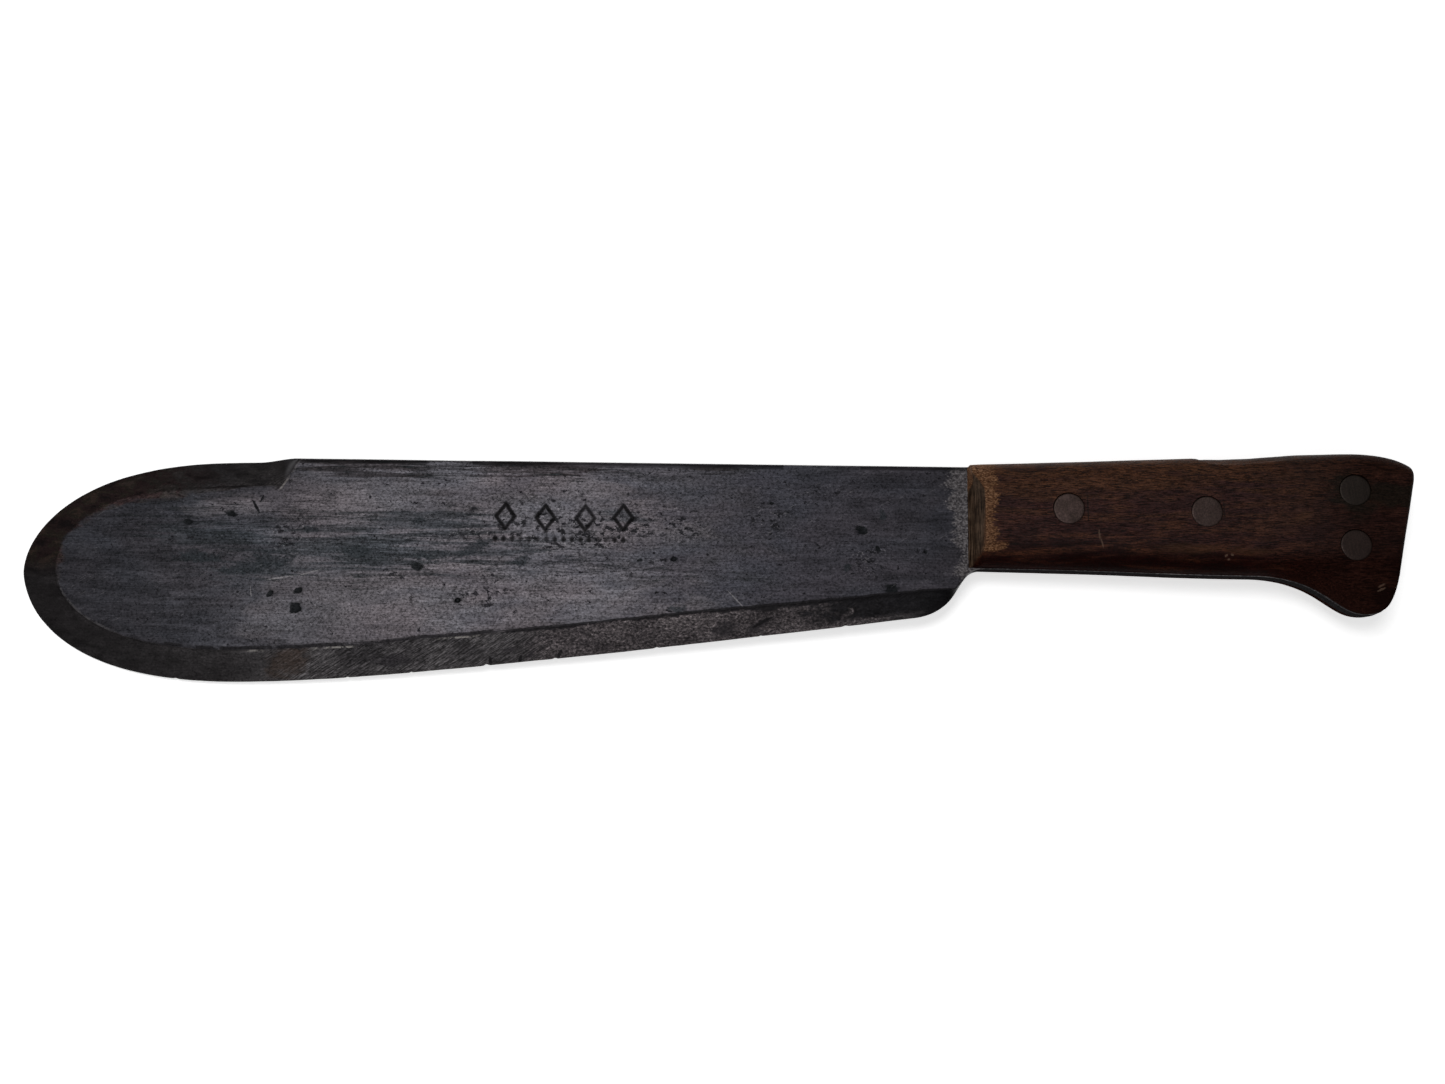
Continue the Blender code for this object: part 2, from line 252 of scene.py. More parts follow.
def trace(start, stretches, fineness):
    """Points along the stretches and how sharp the rim is at each, with the start and every end included."""
    points, sharp = [Vector(start)], [0]
    for stretch in stretches:
        first, last = points[-1], Vector(stretch.end)
        leave = Vector(stretch.leave) if stretch.leave else first.lerp(last, 1 / 3)
        arrive = Vector(stretch.arrive) if stretch.arrive else first.lerp(last, 2 / 3)
        count = stretch.steps * fineness
        points += interpolate_bezier(first, leave, arrive, last, count + 1)[1:]
        shares = ease(np.arange(1, count + 1) / count, 0, 1)
        sharp += list(stretch.sharp[0] + (stretch.sharp[1] - stretch.sharp[0]) * shares)
    return np.array([tuple(point) for point in points]), np.array(sharp)


def left_normals(points, closed):
    """Unit normals on the left of a line, which is inwards where an outline runs anticlockwise."""
    if closed:
        along = np.roll(points, -1, axis=0) - np.roll(points, 1, axis=0)
    else:
        along = np.gradient(points, axis=0)
    along /= np.linalg.norm(along, axis=1)[:, None] + 1e-12
    return np.stack([-along[:, 1], along[:, 0]], axis=1)


def inset(points, distance):
    """An open line moved inwards."""
    return points + distance * left_normals(points, closed=False)


def respaced(loop, sharp):
    """A closed loop pointed anew, closely on the blade and loosely round the tang."""
    closed = np.vstack([loop, loop[:1]])
    closed_sharp = np.append(sharp, sharp[0])
    steps = np.linalg.norm(np.diff(closed, axis=0), axis=1)
    spacing = np.where(closed[:-1, 0] > TANG_STARTS, TANG_LINE_SPACING, LINE_SPACING)
    along = np.concatenate([[0], np.cumsum(steps / spacing)])
    wanted = np.linspace(0, along[-1], int(along[-1]), endpoint=False)
    columns = [np.interp(wanted, along, values) for values in (closed[:, 0], closed[:, 1], closed_sharp)]
    return np.stack(columns[:2], axis=1), columns[2]


def blade_loops():
    """The rim and the shoulder as closed loops, each with its sharpness."""
    rim, rim_sharp = trace((0, 0), BLADE_RIM, TRACE_FINENESS)
    shoulder, shoulder_sharp = trace((0, -ARRIS), GRIND_LINE, TRACE_FINENESS)
    for start, stretches in ((GRIP_START, GRIP_BELLY), (BUTT_TOP, GRIP_CREST)):
        line, sharp = trace(start, stretches, TRACE_FINENESS)
        rim, rim_sharp = np.vstack([rim, line]), np.append(rim_sharp, sharp)
        shoulder, shoulder_sharp = np.vstack([shoulder, inset(line, ARRIS)]), np.append(shoulder_sharp, sharp)
    return respaced(rim, rim_sharp), respaced(shoulder, shoulder_sharp)


def arc_lengths(loop):
    """How far along the loop each point is."""
    steps = np.linalg.norm(loop - np.roll(loop, 1, axis=0), axis=1)
    return np.cumsum(steps)


def worn_rim(rim, sharp):
    """The rim pulled in a little all round, and nicked along the edge."""
    arc = arc_lengths(rim)
    pull = 0.05 + 0.05 * ripple(arc, 0 * arc, (23, 1), 3)
    pull += sharp * (0.07 + 0.05 * rough(arc, 0 * arc, (7, 1), 5))
    on_edge = rim[:, 1] < -30
    for x, width, depth in EDGE_NICKS:
        pull += on_edge * depth * np.clip(1 - np.abs(rim[:, 0] - x) / width, 0, 1)
    return rim + pull[:, None] * left_normals(rim, closed=True)


def wandering_shoulder(shoulder, sharp):
    """The shoulder line with the small unevenness of hand grinding."""
    arc = arc_lengths(shoulder)
    stray = 0.28 * ripple(arc, 0 * arc, (17, 1), 11) + 0.14 * rough(arc, 0 * arc, (3.2, 1), 13)
    return shoulder + (stray * sharp)[:, None] * left_normals(shoulder, closed=True)


# ---- blade

def hexagonal(low, high, spacing):
    """Points of a triangular grid between two corners."""
    rise = spacing * math.sqrt(3) / 2
    rows = np.arange(low[1], high[1], rise)
    columns = np.arange(low[0], high[0], spacing)
    x, y = np.meshgrid(columns, rows)
    x = x + (np.arange(len(rows)) % 2)[:, None] * spacing / 2
    return np.stack([x.ravel(), y.ravel()], axis=1)


def inside(points, loop):
    """Which points are inside a closed loop."""
    found = np.zeros(len(points), bool)
    following = np.roll(loop, -1, axis=0)
    for (x0, y0), (x1, y1) in zip(loop, following):
        if y0 == y1:
            continue
        spans = (points[:, 1] > y0) != (points[:, 1] > y1)
        crossing = x0 + (points[:, 1] - y0) * (x1 - x0) / (y1 - y0)
        found ^= spans & (points[:, 0] < crossing)
    return found


def tree_of(points):
    """A search tree for flat points."""
    tree = KDTree(len(points))
    for index, (x, y) in enumerate(points):
        tree.insert((x, y, 0), index)
    tree.balance()
    return tree


def clear_of(points, taken, distance):
    """The points that keep a distance from those already taken."""
    tree = tree_of(taken)
    return points[[tree.find((x, y, 0))[2] > distance for x, y in points]]


def nearest_on(points, loop):
    """Distance from each point to a closed loop, and the index and share of the place nearest to it."""
    tree = tree_of(loop)
    index = np.array([tree.find((x, y, 0))[1] for x, y in points])
    best = np.full(len(points), np.inf)
    place = np.zeros(len(points))
    for start in (index - 1, index):
        first, last = loop[start % len(loop)], loop[(start + 1) % len(loop)]
        along = last - first
        share = np.einsum("ij,ij->i", points - first, along) / np.einsum("ij,ij->i", along, along)
        share = np.clip(share, 0, 1)
        distance = np.linalg.norm(points - first - share[:, None] * along, axis=1)
        nearer = distance < best
        best[nearer] = distance[nearer]
        place[nearer] = (start + share)[nearer]
    return best, place


def circle(centre, radius, count):
    """Points round a circle."""
    angles = np.arange(count) * 2 * math.pi / count
    return np.stack([centre[0] + radius * np.cos(angles), centre[1] + radius * np.sin(angles)], axis=1)


def pit_points():
    """Points that catch the bowls of the pits on both sides."""
    rings = []
    for x, y, radius, _ in LEFT_PITS + RIGHT_PITS:
        for share in PIT_RINGS:
            count = int(14 * min(1, 0.4 + share)) if share else 1
            rings.append(circle((x, y), share * radius, count))
    return np.vstack(rings)


def beside_line(loop, sharp, distances):
    """Points on both sides of the ground part of a loop."""
    normals = left_normals(loop, closed=True)
    ground = sharp > 0.15
    return np.vstack([(loop + distance * normals)[ground] for distance in distances])


def plan_points(rim, rim_sharp, shoulder, shoulder_sharp, holes):
    """Every point of the blade's plan but for its loops."""
    lines = np.vstack([rim, shoulder, *holes])
    pits = clear_of(pit_points(), lines, PIT_CLEARANCE)
    beside = np.vstack([beside_line(shoulder, shoulder_sharp, SHOULDER_OFFSETS),
                        beside_line(rim, rim_sharp, RIM_OFFSETS)])
    beside = clear_of(beside, np.vstack([lines, pits]), BESIDE_CLEARANCE)
    mark = hexagonal(*MARK_BOX, MARK_SPACING)
    fine = np.vstack([lines, pits, beside, mark])
    flat = hexagonal((TIP_X, LOWEST_Y), (TANG_STARTS + 2, 0), FLAT_SPACING)
    flat = clear_of(flat, fine, GRID_CLEARANCE * FLAT_SPACING)
    tang = hexagonal((TANG_STARTS, -46), (BUTT_X, CREST_Y), TANG_SPACING)
    tang = clear_of(tang, np.vstack([fine, flat]), GRID_CLEARANCE * TANG_SPACING)
    points = np.vstack([pits, beside, mark, flat, tang])
    return points[inside(points, rim)]


def mark_relief(points):
    """Depth of the struck mark."""
    depth = np.zeros(len(points))
    half_x, half_y = LOZENGE_HALVES
    across = half_x * half_y / math.hypot(half_x, half_y)
    width, deepest = LOZENGE_GROOVE
    for x, y in LOZENGE_PLACES:
        away = (np.abs(points[:, 0] - x) / half_x + np.abs(points[:, 1] - y) / half_y - 1) * across
        depth = np.maximum(depth, deepest * np.clip(1 - np.abs(away) / width, 0, 1))
    for index in range(PUNCH_COUNT):
        x = PUNCH_START[0] + index * PUNCH_PITCH
        away = (np.abs(points[:, 0] - x) / PUNCH_HALVES[0]
                + np.abs(points[:, 1] - PUNCH_START[1]) / PUNCH_HALVES[1])
        depth = np.maximum(depth, PUNCH_DEPTH * np.clip(1 - away, 0, 1))
    unevenly = 0.75 + 0.35 * ripple(points[:, 0], points[:, 1], (6, 5), 71)
    return depth * unevenly


def pit_relief(points, pits):
    """Depth of the pits."""
    depth = np.zeros(len(points))
    for x, y, radius, deepest in pits:
        lobes = 1 + 0.28 * ripple(points[:, 0], points[:, 1], (0.9 * radius, 0.9 * radius), 83)
        away = np.hypot(points[:, 0] - x, points[:, 1] - y) / (radius * lobes)
        bowl = np.sqrt(np.clip(1 - away ** 2, 0, 1))
        depth = np.maximum(depth, deepest * bowl)
    return depth


def blade_side(points, band, side):
    """Half thickness of the blade at each point of its plan on one side, and where it is struck."""
    x, y = points[:, 0], points[:, 1]
    line, share, sharp = band
    rim_height = HALF_BLADE - ARRIS + (HALF_EDGE - HALF_BLADE + ARRIS) * sharp
    height = rim_height + (HALF_BLADE - rim_height) * share ** BEVEL_CURVE
    seed = 100 if side > 0 else 200
    bare = ease(-x, -1, 4)
    for index, (depth, size) in enumerate(FLAT_WEAR):
        height -= bare * depth * (1 + rough(x, y, size, seed + 1 + index))
    groove = np.exp(-((line + 0.55) / 0.4) ** 2) * (0.6 + 0.5 * ripple(x, y, (9, 9), seed + 3))
    height -= sharp * GROOVE_DEPTH * np.clip(groove, 0, 1)
    ground = sharp * ease(-line, 0.3, 1.5) * ease(share, 0.05, 0.3)
    height -= ground * GRIND_WAVE * (1 + ripple(x, y, (11, 30), seed + 4))
    height -= pit_relief(points, LEFT_PITS if side > 0 else RIGHT_PITS) * np.minimum(1, height / HALF_BLADE)
    struck = mark_relief(points) if side > 0 else np.zeros(len(points))
    return np.maximum(height - struck, LEAST_HEIGHT), np.clip(struck / STRUCK_FULLY, 0, 1)


def make_blade(material):
    """The forging: a plan triangulated once and raised on both sides, with a wall round its rim and holes."""
    (rim, rim_sharp), (shoulder, shoulder_sharp) = blade_loops()
    rim = worn_rim(rim, rim_sharp)
    shoulder = wandering_shoulder(shoulder, shoulder_sharp)
    holes = [circle(place, TUBE_RADIUS + GAP, 40) for place in RIVET_PLACES.values()]
    free = plan_points(rim, rim_sharp, shoulder, shoulder_sharp, holes)
    loops = [rim, shoulder, *holes]
    edges, start = [], 0
    for loop in loops:
        edges += [(start + index, start + (index + 1) % len(loop)) for index in range(len(loop))]
        start += len(loop)
    every = [Vector(point) for point in np.vstack(loops + [free]).tolist()]
    plan, _, faces, _, _, _ = delaunay_2d_cdt(every, edges, [], 1, PLAN_TOLERANCE)
    plan = np.array([tuple(point) for point in plan])
    faces = np.array(faces)
    centres = plan[faces].mean(axis=1)
    for place in RIVET_PLACES.values():
        faces = faces[np.hypot(*(centres - place).T) > TUBE_RADIUS + GAP * 0.95]
        centres = plan[faces].mean(axis=1)

    to_rim, place = nearest_on(plan, rim)
    to_shoulder, _ = nearest_on(plan, shoulder)
    flat = inside(plan, shoulder) | (to_shoulder < ON_LINE)
    line = np.where(flat, to_shoulder, -to_shoulder)
    share = np.where(flat, 1, to_rim / (to_rim + to_shoulder))
    sharp = np.interp(place % len(rim), np.arange(len(rim)), rim_sharp)
    sides = [blade_side(plan, (line, share, sharp), side) for side in (1, -1)]
    piece = raised("blade_forged", plan, faces, sides[0][0], -sides[1][0], material)
    store(piece, "line", np.tile(line, 2), plan)
    store(piece, "share", np.tile(share, 2), plan)
    store(piece, "sharp", np.tile(sharp, 2), plan)
    store(piece, "struck", np.append(sides[0][1], sides[1][1]), plan)
    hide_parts("blade")


def raised(name, plan, faces, top, bottom, material):
    """A solid between two heights over a triangulated plan, with its walls in four courses."""
    count = len(plan)
    verts = [np.column_stack([plan, top]), np.column_stack([plan, bottom])]
    polygons = [tuple(face) for face in faces.tolist()]
    polygons += [(c + count, b + count, a + count) for a, b, c in faces.tolist()]
    directed = {(face[i], face[(i + 1) % 3]) for face in faces.tolist() for i in range(3)}
    border = sorted((a, b) for a, b in directed if (b, a) not in directed)
    ends = sorted({a for a, _ in border})
    rank = {vert: index for index, vert in enumerate(ends)}
    courses = [{vert: vert for vert in ends}]
    for step, share in enumerate((0.25, 0.5, 0.75)):
        height = top[ends] * (1 - share) + bottom[ends] * share
        verts.append(np.column_stack([plan[ends], height]))
        offset = 2 * count + step * len(ends)
        courses.append({vert: offset + rank[vert] for vert in ends})
    courses.append({vert: vert + count for vert in ends})
    for upper, lower in zip(courses, courses[1:]):
        polygons += [(upper[b], upper[a], lower[a], lower[b]) for a, b in border]
    return new_piece(name, np.vstack(verts), polygons, material, SHARP_BLADE)


def store(piece, name, values, plan):
    """Keep a number for each point of the blade's two faces, and the rim's own for the points of its wall."""
    mesh = piece.data
    whole = np.zeros(len(mesh.vertices), np.float32)
    whole[:len(values)] = values
    tree = tree_of(plan)
    for index in range(len(values), len(mesh.vertices)):
        x, y, _ = (mesh.vertices[index].co - SHIFT) / MM
        whole[index] = values[tree.find((x, y, 0))[1]]
    attribute = mesh.attributes.new(name, "FLOAT", "POINT")
    attribute.data.foreach_set("value", whole)


# ---- pieces

def placed(name, data):
    """A new object in the scene."""
    made = bpy.data.objects.new(name, data)
    bpy.context.scene.collection.objects.link(made)
    return made


def drafted(name, verts, polygons):
    """A mesh in the frame from one drafted in millimetres."""
    mesh = bpy.data.meshes.new(name)
    mesh.from_pydata((np.asarray(verts) * MM + np.array(SHIFT)).tolist(), [], polygons)
    return mesh


def new_piece(name, verts, polygons, material, sharp_angle):
    """A closed mesh drafted in millimetres, put in its place and riding with the knife."""
    mesh = drafted(name, verts, polygons)
    mesh.validate()
    mesh.update()
    mesh.shade_smooth()
    mesh.set_sharp_from_angle(angle=math.radians(sharp_angle))
    mesh.materials.append(material)
    piece = placed(name, mesh)
    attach(piece, "root")
    return piece


def turned(profile, segments, place, bend=None):
    """Vertices and faces of a solid of revolution from (radius, z) points listed down its outer side.

    `bend` takes the x, y, z arrays of a ring in millimetres about the axis and returns them changed."""
    angles = np.arange(segments) * 2 * math.pi / segments
    verts, rings = [], []
    for radius, z in profile:
        count = segments if radius > 0 else 1
        x, y = radius * np.cos(angles[:count]), radius * np.sin(angles[:count])
        height = np.full(count, float(z))
        if bend:
            x, y, height = bend(x, y, height)
        rings.append([len(verts) + index for index in range(count)])
        verts += list(zip(x + place[0], y + place[1], height))
    polygons = []
    for upper, lower in zip(rings, rings[1:]):
        for index in range(segments):
            after = (index + 1) % segments
            corners = [upper[index % len(upper)], lower[index % len(lower)],
                       lower[after % len(lower)], upper[after % len(upper)]]
            polygons.append(tuple(dict.fromkeys(corners)))
    return np.array(verts), polygons


# ---- scales

def across_scale(crest, belly):
    """(place, height) pairs on one section of a scale: wall, round, flat, round and wall."""
    span = np.linalg.norm(belly - crest)
    towards_belly = (belly - crest) / span
    (crest_in, crest_down), (belly_in, belly_down) = CREST_ROUND, BELLY_ROUND
    steps = []
    for share in np.linspace(0, 1, 4, endpoint=False):
        steps.append((0, SCALE_BASE + share * (HALF_GRIP - crest_down - SCALE_BASE)))
    for angle in np.linspace(0, math.pi / 2, 13):
        steps.append((crest_in * (1 - math.cos(angle)), HALF_GRIP - crest_down * (1 - math.sin(angle))))
    for share in np.linspace(0, 1, 28)[1:-1]:
        steps.append((crest_in + share * (span - crest_in - belly_in), HALF_GRIP))
    for angle in np.linspace(math.pi / 2, 0, 15):
        inwards = belly_in * (1 - math.cos(angle))
        steps.append((span - inwards, HALF_GRIP - belly_down * (1 - math.sin(angle))))
    for share in np.linspace(1, 0, 4)[1:]:
        steps.append((span, SCALE_BASE + share * (HALF_GRIP - belly_down - SCALE_BASE)))
    return [(crest + along * towards_belly, height) for along, height in steps]


def front_slope(y):
    """How far the sawn front leans back at the height of the flat."""
    away = abs(y - FRONT_SLOPE_CENTRE_Y) / FRONT_SLOPE_SPAN
    return max(GAP, FRONT_SLOPE * (1 - away ** 3))


def butt_drop(place, butt_top, butt_toe):
    """How far the surface falls in rounding over the end of the grip."""
    along = (butt_toe - butt_top) / np.linalg.norm(butt_toe - butt_top)
    away = place - butt_top
    distance = abs(away[0] * along[1] - away[1] * along[0])
    share = max(0, 1 - distance / BUTT_ROUND)
    return BUTT_ROUND * (1 - math.sqrt(1 - share * share))


def leaned(place, height, front_height):
    """A place on the scale moved back by the lean of the sawn front, which fades along the grip."""
    rise = (height - SCALE_BASE) / (front_height - SCALE_BASE)
    fade = max(0, 1 - (place[0] - FRONT_X) / FRONT_EASE)
    return (place[0] + front_slope(place[1]) * fade * min(1, rise), place[1], height)


def scale_rows():
    """Rows of (x, y, z) over a scale, from the foot of its sawn front to the foot of its butt."""
    fineness = 10
    under, _ = trace(GRIP_START, GRIP_BELLY, fineness)
    top, _ = trace(BUTT_TOP, GRIP_CREST, fineness)
    belly = inset(under, SCALE_INSET)
    belly[0] = (FRONT_X, FRONT_FOOT_Y)
    belly[1:8] += (belly[0] - inset(under, SCALE_INSET)[0]) * np.linspace(0.9, 0.05, 7)[:, None]
    crest = inset(top, SCALE_INSET)[::-1].copy()
    crest[0] = (FRONT_X, -SCALE_INSET)
    sections = [across_scale(*ends) for ends in zip(crest, belly)]

    front = sections[0]
    rows = []
    for share in np.linspace(0, 1, 15):
        rows.append([(place[0] + share * front_slope(place[1]), place[1],
                      SCALE_BASE + share * (z - SCALE_BASE)) for place, z in front])
    for section in sections[1:]:
        row = []
        for (place, z), (_, front_z) in zip(section, front):
            dropped = max(SCALE_BASE, z - butt_drop(place, crest[-1], belly[-1]))
            row.append(leaned(place, dropped, max(front_z, SCALE_BASE + 0.01)))
        rows.append(row)
    last = rows[-1]
    for share in (0.66, 0.33, 0):
        rows.append([(x, y, SCALE_BASE + share * (z - SCALE_BASE)) for x, y, z in last])
    return np.array(rows)


def chip_depth(x, y):
    """How much is gone where the crest has splintered."""
    line_x, line_y = zip(*CHIP_LINE)
    above = y - np.interp(x, line_x, line_y)
    within = ease(x, line_x[0], line_x[0] + 1.5) * ease(-x, -line_x[-1], 16 - line_x[-1])
    return within * CHIP_DEPTH * ease(above, -0.1, 0.5) * (0.8 + 0.2 * ripple(x, y, (6, 2), 301))


def scale_wear(x, y, z, side):
    """How far the surface of a scale has worn in from its first shape."""
    seed = 400 if side > 0 else 500
    round_y = y - 0.8 * z * np.sign(y + 15)
    worn = WOOD_SWELL * (1 + rough(x, round_y, (16, 4.5), seed + 1))
    worn += WOOD_GRAIN * (1 + rough(x, round_y, (7, 1.4), seed + 2))
    front = ease(-x, -3, 0.5) * ease(z, SCALE_BASE, SCALE_BASE + 1)
    worn += front * SAW_MARKS * (1 + ripple(y, z, (0.9, 14), seed + 3))
    ridge = np.exp(-((x - FRONT_SLOPE) / 1.3) ** 2) * ease(z, 9.5, 11)
    worn += ridge * RIDGE_WEAR * (1 + 0.6 * ripple(y, x, (2.1, 3), seed + 4))
    if side > 0:
        worn += chip_depth(x, y)
    return worn


def closed_grid(rows):
    """Faces over a grid of rows, with the open base closed by one face."""
    count, width, _ = rows.shape
    at = np.arange(count * width).reshape(count, width)
    polygons = []
    for row in range(count - 1):
        for column in range(width - 1):
            polygons.append((at[row, column], at[row, column + 1],
                             at[row + 1, column + 1], at[row + 1, column]))
    around = [*at[0, :], *at[1:, -1], *at[-1, -2::-1], *at[-2:0:-1, 0]]
    return [tuple(int(v) for v in polygon) for polygon in polygons], [int(v) for v in around]


def vertex_normals(verts, polygons):
    """Unit normals of the vertices, from the faces round them."""
    quads = np.array(polygons)
    first = verts[quads[:, 2]] - verts[quads[:, 0]]
    second = verts[quads[:, 3]] - verts[quads[:, 1]]
    normals = np.cross(first, second)
    total = np.zeros_like(verts)
    for corner in range(4):
        np.add.at(total, quads[:, corner], normals)
    return total / (np.linalg.norm(total, axis=1)[:, None] + 1e-12)


def make_scale(name, node, side, material):
    """A wooden grip scale, worn, with seats for its rivets."""
    rows = scale_rows()
    polygons, around = closed_grid(rows)
    verts = rows.reshape(-1, 3)
    normals = vertex_normals(verts, polygons)
    outwards = 1 if normals[np.argmax(verts[:, 2]), 2] > 0 else -1
    wear = scale_wear(*verts.T, side)
    wear *= ease(verts[:, 2], SCALE_BASE, SCALE_BASE + 0.6)
    verts = verts - (outwards * wear)[:, None] * normals
    verts[:, 2] = np.maximum(verts[:, 2], SCALE_BASE)
    verts[:, 2] *= side
    flip = outwards * side < 0
    faces = [polygon[::-1] if flip else polygon for polygon in polygons]
    base = around if flip else around[::-1]
    piece = new_piece(name, verts, faces + [tuple(base)], material, SHARP_SCALE)
    for rivet, place in RIVET_PLACES.items():
        bore(piece, rivet, place, side)
    piece.data.shade_smooth()
    piece.data.set_sharp_from_angle(angle=math.radians(SHARP_SCALE))
    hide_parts(node)


def seat_bend(rivet, side):
    """The play between a rivet's head and its seat, which is bitten away round one of them."""
    ragged = 0
    if rivet == RAGGED_SEAT and side > 0:
        ragged = 0.3

    def bend(x, y, z):
        radius = np.hypot(x, y)
        angle = np.arctan2(y, x)
        bites = ragged * np.clip(ripple(angle, 0 * angle, (0.35, 1), 611), 0, 1)
        bites = bites * (radius > HEAD_RADIUS) * ease(np.cos(angle - 0.5), -0.2, 0.5)
        grow = 1 + bites / np.maximum(radius, 0.1)
        shift = SEAT_SHIFT * (radius > HEAD_RADIUS)
        return x * grow - shift, y * grow + shift, side * z
    return bend


def bore(piece, rivet, place, side):
    """Cut a stepped seat for a rivet right through a scale."""
    seat = HEAD_RADIUS + SEAT_PLAY
    hole = TUBE_RADIUS + GAP
    floor = HALF_GRIP - HEAD_SUNK - HEAD_THICKNESS - GAP
    profile = [(0, HALF_GRIP + 2), (seat, HALF_GRIP + 2), (seat, floor), (hole, floor),
               (hole, SCALE_BASE - 2), (0, SCALE_BASE - 2)]
    verts, polygons = turned(profile, ROUND_SEGMENTS, place, seat_bend(rivet, side))
    if side < 0:
        polygons = [polygon[::-1] for polygon in polygons]
    cutter = placed("cutter", drafted("cutter", verts, polygons))
    boolean = piece.modifiers.new("bore", "BOOLEAN")
    boolean.operation = "DIFFERENCE"
    boolean.solver = "MANIFOLD"
    boolean.object = cutter
    bpy.context.view_layer.update()
    evaluated = piece.evaluated_get(bpy.context.evaluated_depsgraph_get())
    mesh = bpy.data.meshes.new_from_object(evaluated)
    old = piece.data
    piece.modifiers.clear()
    piece.data = mesh
    bpy.data.meshes.remove(old)
    bpy.data.objects.remove(cutter)


# ---- rivets

def head_profile():
    """(radius, z) points from the crown of a head to its underside."""
    top = HALF_GRIP - HEAD_SUNK
    under = top - HEAD_THICKNESS
    points = []
    for radius in (0, 0.6, 1.2, 1.8, 2.4, 3, 3.6, 4.1, 4.4):
        points.append((radius, top + HEAD_CROWN * (1 - (radius / 4.4) ** 2)))
    points += [(4.58, top - 0.04), (4.7, top - 0.14), (HEAD_RADIUS, top - 0.3), (HEAD_RADIUS, under + 0.4),
               (HEAD_RADIUS, under)]
    return points


def tube_profile():
    """A crowned head with a blind tube below it."""
    under = HALF_GRIP - HEAD_SUNK - HEAD_THICKNESS
    mouth = -under + GAP
    bore_end = under - 2 * GAP
    return head_profile() + [(TUBE_RADIUS, under), (TUBE_RADIUS, mouth + 0.2), (TUBE_RADIUS - 0.15, mouth),
                             (TUBE_BORE_RADIUS + 0.1, mouth), (TUBE_BORE_RADIUS, mouth + 0.15),
                             (TUBE_BORE_RADIUS, bore_end), (0, bore_end)]


def shank_profile():
    """A crowned head with a solid shank, which goes up the tube of the other half."""
    under = HALF_GRIP - HEAD_SUNK - HEAD_THICKNESS
    end = -(under - 4 * GAP)
    return head_profile() + [(SHANK_RADIUS, under), (SHANK_RADIUS, end + 0.4), (SHANK_RADIUS - 0.35, end),
                             (0, end)]


def filed(seed, side):
    """Uneven filing and small dents on the face of a head."""
    def bend(x, y, z):
        face = ease(z, HALF_GRIP - HEAD_SUNK - 0.2, HALF_GRIP - HEAD_SUNK)
        dents = 0.03 * (1 + rough(x, y, (2.6, 2.2), seed)) * face
        return x, y, side * (z - dents)
    return bend


def make_rivets(material):
    """Two halves on each rivet's axis: the tube half from the left, the shank half from the right."""
    for index, (rivet, place) in enumerate(RIVET_PLACES.items()):
        for half, profile, side in (("tube", tube_profile(), 1), ("shank", shank_profile(), -1)):
            verts, polygons = turned(profile, ROUND_SEGMENTS, place, filed(700 + 20 * index + side, side))
            if side < 0:
                polygons = [polygon[::-1] for polygon in polygons]
            piece = new_piece(f"{rivet}_{half}_turned", verts, polygons, material, SHARP_RIVET)
            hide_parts(f"{rivet}_{half}")


# ---- materials

# Noise values mostly fall in NOISE_SPAN, and the two tones of `between` are reached at TONE_SPAN.
NOISE_SPAN = (0.35, 0.65)
TONE_SPAN = (0.38, 0.62)
# How many times the size of a patch its gradient reaches, and the gradient's value at the patch's border.
REACH = 4
BORDER = 1 - 1 / REACH
# The size of a patch through the blade's thickness, where it has no end.
ENDLESS = 1e6


